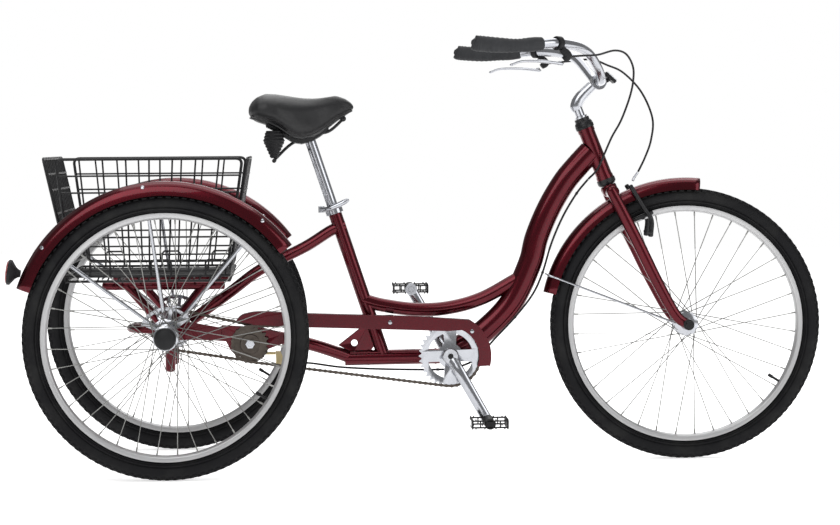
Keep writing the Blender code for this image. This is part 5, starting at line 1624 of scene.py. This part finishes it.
def make_basket():
    half, levels = BASKET_HALF, GRID_LEVELS
    for name, side in SIDES:
        corners = (
            place_at(-0.838, 0.4785, side * half), place_at(-0.48, 0.4785, side * half),
            place_at(-0.443, 0.736, side * half), place_at(-0.872, 0.736, side * half),
        )
        panel_wires(name + "_panel", "frame", corners, 8, levels, name + "_basket_panel")
    width = half - 0.008
    corners = (
        place_at(-0.474, 0.479, -width), place_at(-0.474, 0.479, width), place_at(-0.431, 0.736, width),
        place_at(-0.431, 0.736, -width),
    )
    panel_wires("front_panel", "front_basket_panel", corners, 12, levels, "front_basket_panel")
    corners = (
        place_at(-0.846, 0.493, -width), place_at(-0.846, 0.493, width), place_at(-0.901, 0.738, width),
        place_at(-0.901, 0.738, -width),
    )
    panel_wires("rear_panel", "rear_basket_panel", corners, 12, levels, "rear_basket_panel")
    runs = []
    low, high = 0.4545, 0.4665
    for z in (low, high):
        runs.append([place_at(
            x, z, y,
        ) for x, y in ((-0.852, -half), (-0.474, -half), (-0.474, half), (-0.852, half), (-0.852, -half))])
    rails = wires("basket_floor_rails", runs, 0.0031, "black_metal", 12)
    runs = []
    for y in (-half, half):
        for i in range(17):
            x = -0.85 + 0.374 * i / 16
            runs.append(spots((x, low, y), (x + 0.006, high, y)))
    for x in (-0.852, -0.474):
        for i in range(23):
            y = -half + 2 * half * i / 22
            runs.append(spots((x, low, y), (x, high, y)))
    struts = wires("basket_floor_struts", runs, FLOOR_WIRE, "black_metal", 8)
    settle(merge("basket_floor_edge", "black_metal", rails, struts), "frame", "black_metal", "basket_floor")
    runs = []
    for side in (-1, 1):
        for x in (-0.795, -0.655, -0.53):
            loop = [
                (x, 0.467), (x, 0.496), (x + 0.006, 0.503), (x + 0.04, 0.503), (x + 0.046, 0.496),
                (x + 0.046, 0.467),
            ]
            runs.append([place_at(px, pz, side * (half + 0.004)) for px, pz in loop])
    settle(wires("basket_catches", runs, 0.0024, "black_metal", 10), "frame", "black_metal")
    runs = []
    for i in range(1, 9):
        x = -0.852 + 0.378 * i / 9
        runs.append(spots((x, 0.46, -half), (x, 0.46, half)))
    for i in range(1, 12):
        y = -half + 2 * half * i / 12
        runs.append(spots((-0.852, 0.4628, y), (-0.474, 0.4628, y)))
    settle(wires("basket_floor_grid", runs, FLOOR_WIRE, "black_metal", 8), "frame", "black_metal")


# Rear brake and cables


def make_band_brake():
    bm = bmesh.new()
    outline = arc_points(JACKSHAFT, 0.0415, -20, 320, 60) + arc_points(JACKSHAFT, 0.035, 320, -20, 60)
    add_plate(bm, outline, -0.011, 0.011)
    add_box(bm, (-0.405, -0.01, 0.262), (-0.372, 0.01, 0.268))
    put(bm, "brake_band_strip", "zinc", "frame", "brake_band", edge=0.0008)
    arm = bmesh.new()
    add_plate(arm, mm((-371, 236), (-350, 236), (-350, 244), (-360, 269), (-372, 269)), 0.012, 0.015)
    add_screw(arm, place_at(-0.366, 0.262, 0.015), SIDEWAYS, 0.004, 0.0028)
    put(arm, "band_arm", "zinc", "band_brake_arm", "band_brake_arm", edge=0.0006)


CABLE_RADIUS = 0.0025
FRONT_CABLE = path_mm(
    (317, 966, 272), (368, 970, 225), (414, 972, 168), (448, 957, 128), (483, 937, 88), (522, 889, 48),
    (545, 825, 18), (539, 772, 0), (523, 730, -10), (505, 696, -20),
)
REAR_LOOP = path_mm(
    (317, 966, -272), (352, 969, -238), (389, 972, -200), (436, 984, -130), (468, 977, -90), (488, 949, -60),
    (491, 916, -44), (484, 876, -32), (464, 821, -26), (441, 780, -26), (423, 740, -27), (405, 702, -29),
    (383, 679, -30),
)
REAR_RUN = spots(
    (0.3823, 0.6784, -0.03), (0.355, 0.645, -0.029), (0.322, 0.59, -0.027), (0.294, 0.525, -0.024),
    (0.272, 0.455, -0.027), (0.248, 0.403, -0.027), (0.205, 0.348, -0.027), (0.15, 0.29, -0.027),
    (0.115, 0.25, -0.028), (0.06, 0.227, -0.028), (0.018, 0.223, -0.022), (-0.1, 0.224, -0.01),
    (-0.21, 0.229, 0.0), (-0.29, 0.239, 0.0135), (-0.349, 0.24, 0.02),
)


def make_cables():
    front = wires("front_cable", [smooth_path(FRONT_CABLE, 10)], CABLE_RADIUS, "black_plastic", 14)
    settle(front, "steering", "black_plastic", "front_brake_cable")
    loop = wires("rear_cable_loop", [smooth_path(REAR_LOOP, 10)], CABLE_RADIUS, "black_plastic", 14)
    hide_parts("rear_brake_cable_loop")
    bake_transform(loop)
    run = wires("rear_cable_run", [smooth_path(REAR_RUN, 8)], CABLE_RADIUS, "black_plastic", 14)
    settle(run, "frame", "black_plastic", "rear_brake_cable_run")
    bm = bmesh.new()
    for index in (1, 4, 6, 10):
        here, after = REAR_RUN[index], REAR_RUN[index + 1]
        band = mm((2.4, -3), (3.3, -3), (3.3, 3), (2.4, 3))
        add_ring(bm, band, here, (after - here).normalized(), 20)
    put(bm, "cable_clips", "black_plastic", "frame")


# Stage


# Each lamp: name, place, aim, power and size
LAMPS = (
    ("key", (-1.6, -3.4, 3.6), (0, 0, 0.4), 95, 3.4), ("side", (3.2, -2.4, 2.0), (0.1, 0, 0.4), 45, 2.6),
    ("top", (0.0, 0.4, 4.2), (0, 0, 0.3), 75, 4.0), ("back", (0.6, 3.4, 3.2), (0, 0, 0.4), 60, 3.4),
)
WORLD_LIGHT = 0.3
FLOOR_CORNERS = ((-11.0, -9.0), (11.0, -9.0), (11.0, 13.0), (-11.0, 13.0))
CAMERA_LENS = 117.75
CAMERA_PLACE = Vector((-0.3313, -6.6167, 0.7668))
CAMERA_YAW, CAMERA_PITCH, CAMERA_ROLL = 0.0467, 0.0432, -0.0068


def make_stage():
    bm = bmesh.new()
    bm.faces.new([bm.verts.new((x, y, -0.0005)) for x, y in FLOOR_CORNERS])
    mesh = bpy.data.meshes.new("studio_floor")
    bm.to_mesh(mesh)
    bm.free()
    mesh.materials.append(look("floor"))
    floor = linked("studio_floor", mesh)
    for name, place, aim, power, size in LAMPS:
        lamp = bpy.data.lights.new(name, "AREA")
        lamp.energy = power
        lamp.size = size
        made = linked(name, lamp)
        made.location = place
        made.rotation_euler = (Vector(aim) - Vector(place)).to_track_quat("-Z", "Y").to_euler()
    world = bpy.data.worlds.new("studio")
    world.use_nodes = True
    nodes, links = world.node_tree.nodes, world.node_tree.links
    nodes["Background"].inputs["Color"].default_value = (1, 1, 1, 1)
    seen = nodes.new("ShaderNodeMapRange")
    seen.inputs["To Min"].default_value = WORLD_LIGHT
    seen.inputs["To Max"].default_value = 1.0
    links.new(nodes.new("ShaderNodeLightPath").outputs["Is Camera Ray"], seen.inputs["Value"])
    links.new(seen.outputs["Result"], nodes["Background"].inputs["Strength"])
    bpy.context.scene.world = world
    bpy.context.scene.view_settings.view_transform = "Standard"
    bpy.context.scene.view_settings.look = "None"
    camera = linked("camera", bpy.data.cameras.new("camera"))
    camera.data.lens = CAMERA_LENS
    camera.data.sensor_width = 36
    camera.data.clip_end = 50
    yaw, pitch, roll = CAMERA_YAW, CAMERA_PITCH, CAMERA_ROLL
    away = Vector((math.sin(yaw) * math.cos(pitch), math.cos(yaw) * math.cos(pitch), -math.sin(pitch)))
    right = Vector((math.cos(yaw), -math.sin(yaw), 0))
    high = right.cross(away)
    across = right * math.cos(roll) + high * math.sin(roll)
    upward = high * math.cos(roll) - right * math.sin(roll)
    matrix = Matrix((across, upward, -away)).transposed().to_4x4()
    matrix.translation = CAMERA_PLACE
    camera.matrix_world = matrix
    bpy.context.scene.camera = camera


# Operators, panel and registration


class BuildPiece(bpy.types.Operator):
    """Base of the build steps: runs its own functions in order."""

    bl_options = {"REGISTER", "UNDO"}
    steps = ()

    def execute(self, context):
        for step in self.steps:
            step()
        return {"FINISHED"}


class TRICYCLE_OT_frame(BuildPiece):
    """Builds the main frame, the rear frame and their bearings."""

    bl_idname = "tricycle.frame"
    bl_label = "Frame"
    steps = (make_main_frame, make_frame_hardware, make_rear_frame)


class TRICYCLE_OT_wheels(BuildPiece):
    """Builds the three wheels with their tyres, spokes and caps."""

    bl_idname = "tricycle.wheels"
    bl_label = "Wheels"
    steps = (make_front_wheel, make_rear_wheels)


class TRICYCLE_OT_drive(BuildPiece):
    """Builds the chains, the sprockets, the cranks, the pedals and the guard."""

    bl_idname = "tricycle.drive"
    bl_label = "Drive"
    steps = (make_drive, make_cranks, make_chain_guard)


class TRICYCLE_OT_steering(BuildPiece):
    """Builds the fork, the stem, the bars, the levers and the front brake."""

    bl_idname = "tricycle.steering"
    bl_label = "Steering"
    steps = (make_fork, make_stem_and_bar, make_front_brake)


class TRICYCLE_OT_fenders(BuildPiece):
    """Builds the three fenders with their stays and reflectors."""

    bl_idname = "tricycle.fenders"
    bl_label = "Fenders"
    steps = (make_front_fender, make_rear_fenders)


class TRICYCLE_OT_seat(BuildPiece):
    """Builds the seat post, the sprung frame and the padded saddle."""

    bl_idname = "tricycle.seat"
    bl_label = "Seat"
    steps = (make_seat_post, make_saddle_frame, make_saddle)


class TRICYCLE_OT_basket(BuildPiece):
    """Builds the four wire panels of the basket and its floor."""

    bl_idname = "tricycle.basket"
    bl_label = "Basket"
    steps = (make_basket,)


class TRICYCLE_OT_brakes(BuildPiece):
    """Builds the rear band brake and the brake cables."""

    bl_idname = "tricycle.brakes"
    bl_label = "Rear brake and cables"
    steps = (make_band_brake, make_cables)


class TRICYCLE_OT_stage(BuildPiece):
    """Builds the pale floor, the soft lights and the camera."""

    bl_idname = "tricycle.stage"
    bl_label = "Stage"
    steps = (make_stage,)


OPERATORS = (
    TRICYCLE_OT_frame, TRICYCLE_OT_wheels, TRICYCLE_OT_drive, TRICYCLE_OT_steering, TRICYCLE_OT_fenders,
    TRICYCLE_OT_seat, TRICYCLE_OT_basket, TRICYCLE_OT_brakes, TRICYCLE_OT_stage,
)


class TRICYCLE_PT_build(bpy.types.Panel):
    """Lists the build steps and the settings in the sidebar."""

    bl_idname = "TRICYCLE_PT_build"
    bl_label = "Tricycle"
    bl_space_type = "VIEW_3D"
    bl_region_type = "UI"
    bl_category = "Tricycle"

    def draw(self, context):
        for settings in (context.scene.tricycle_sizes, context.scene.tricycle_colours):
            for name in settings.bl_rna.properties.keys():
                if name not in ("rna_type", "name"):
                    self.layout.prop(settings, name)
        for operator in OPERATORS:
            self.layout.operator(operator.bl_idname)


CLASSES = (TricycleSizes, TricycleColours, *OPERATORS, TRICYCLE_PT_build)


def register():
    for each in CLASSES:
        bpy.utils.register_class(each)
    bpy.types.Scene.tricycle_sizes = bpy.props.PointerProperty(type=TricycleSizes)
    bpy.types.Scene.tricycle_colours = bpy.props.PointerProperty(type=TricycleColours)


def unregister():
    del bpy.types.Scene.tricycle_colours
    del bpy.types.Scene.tricycle_sizes
    for each in reversed(CLASSES):
        bpy.utils.unregister_class(each)


def main():
    register()
    for operator in OPERATORS:
        group, name = operator.bl_idname.split(".")
        result = getattr(getattr(bpy.ops, group), name)()
        if result != {"FINISHED"}:
            raise RuntimeError(operator.bl_label + " did not finish")


if __name__ == "__main__":
    main()
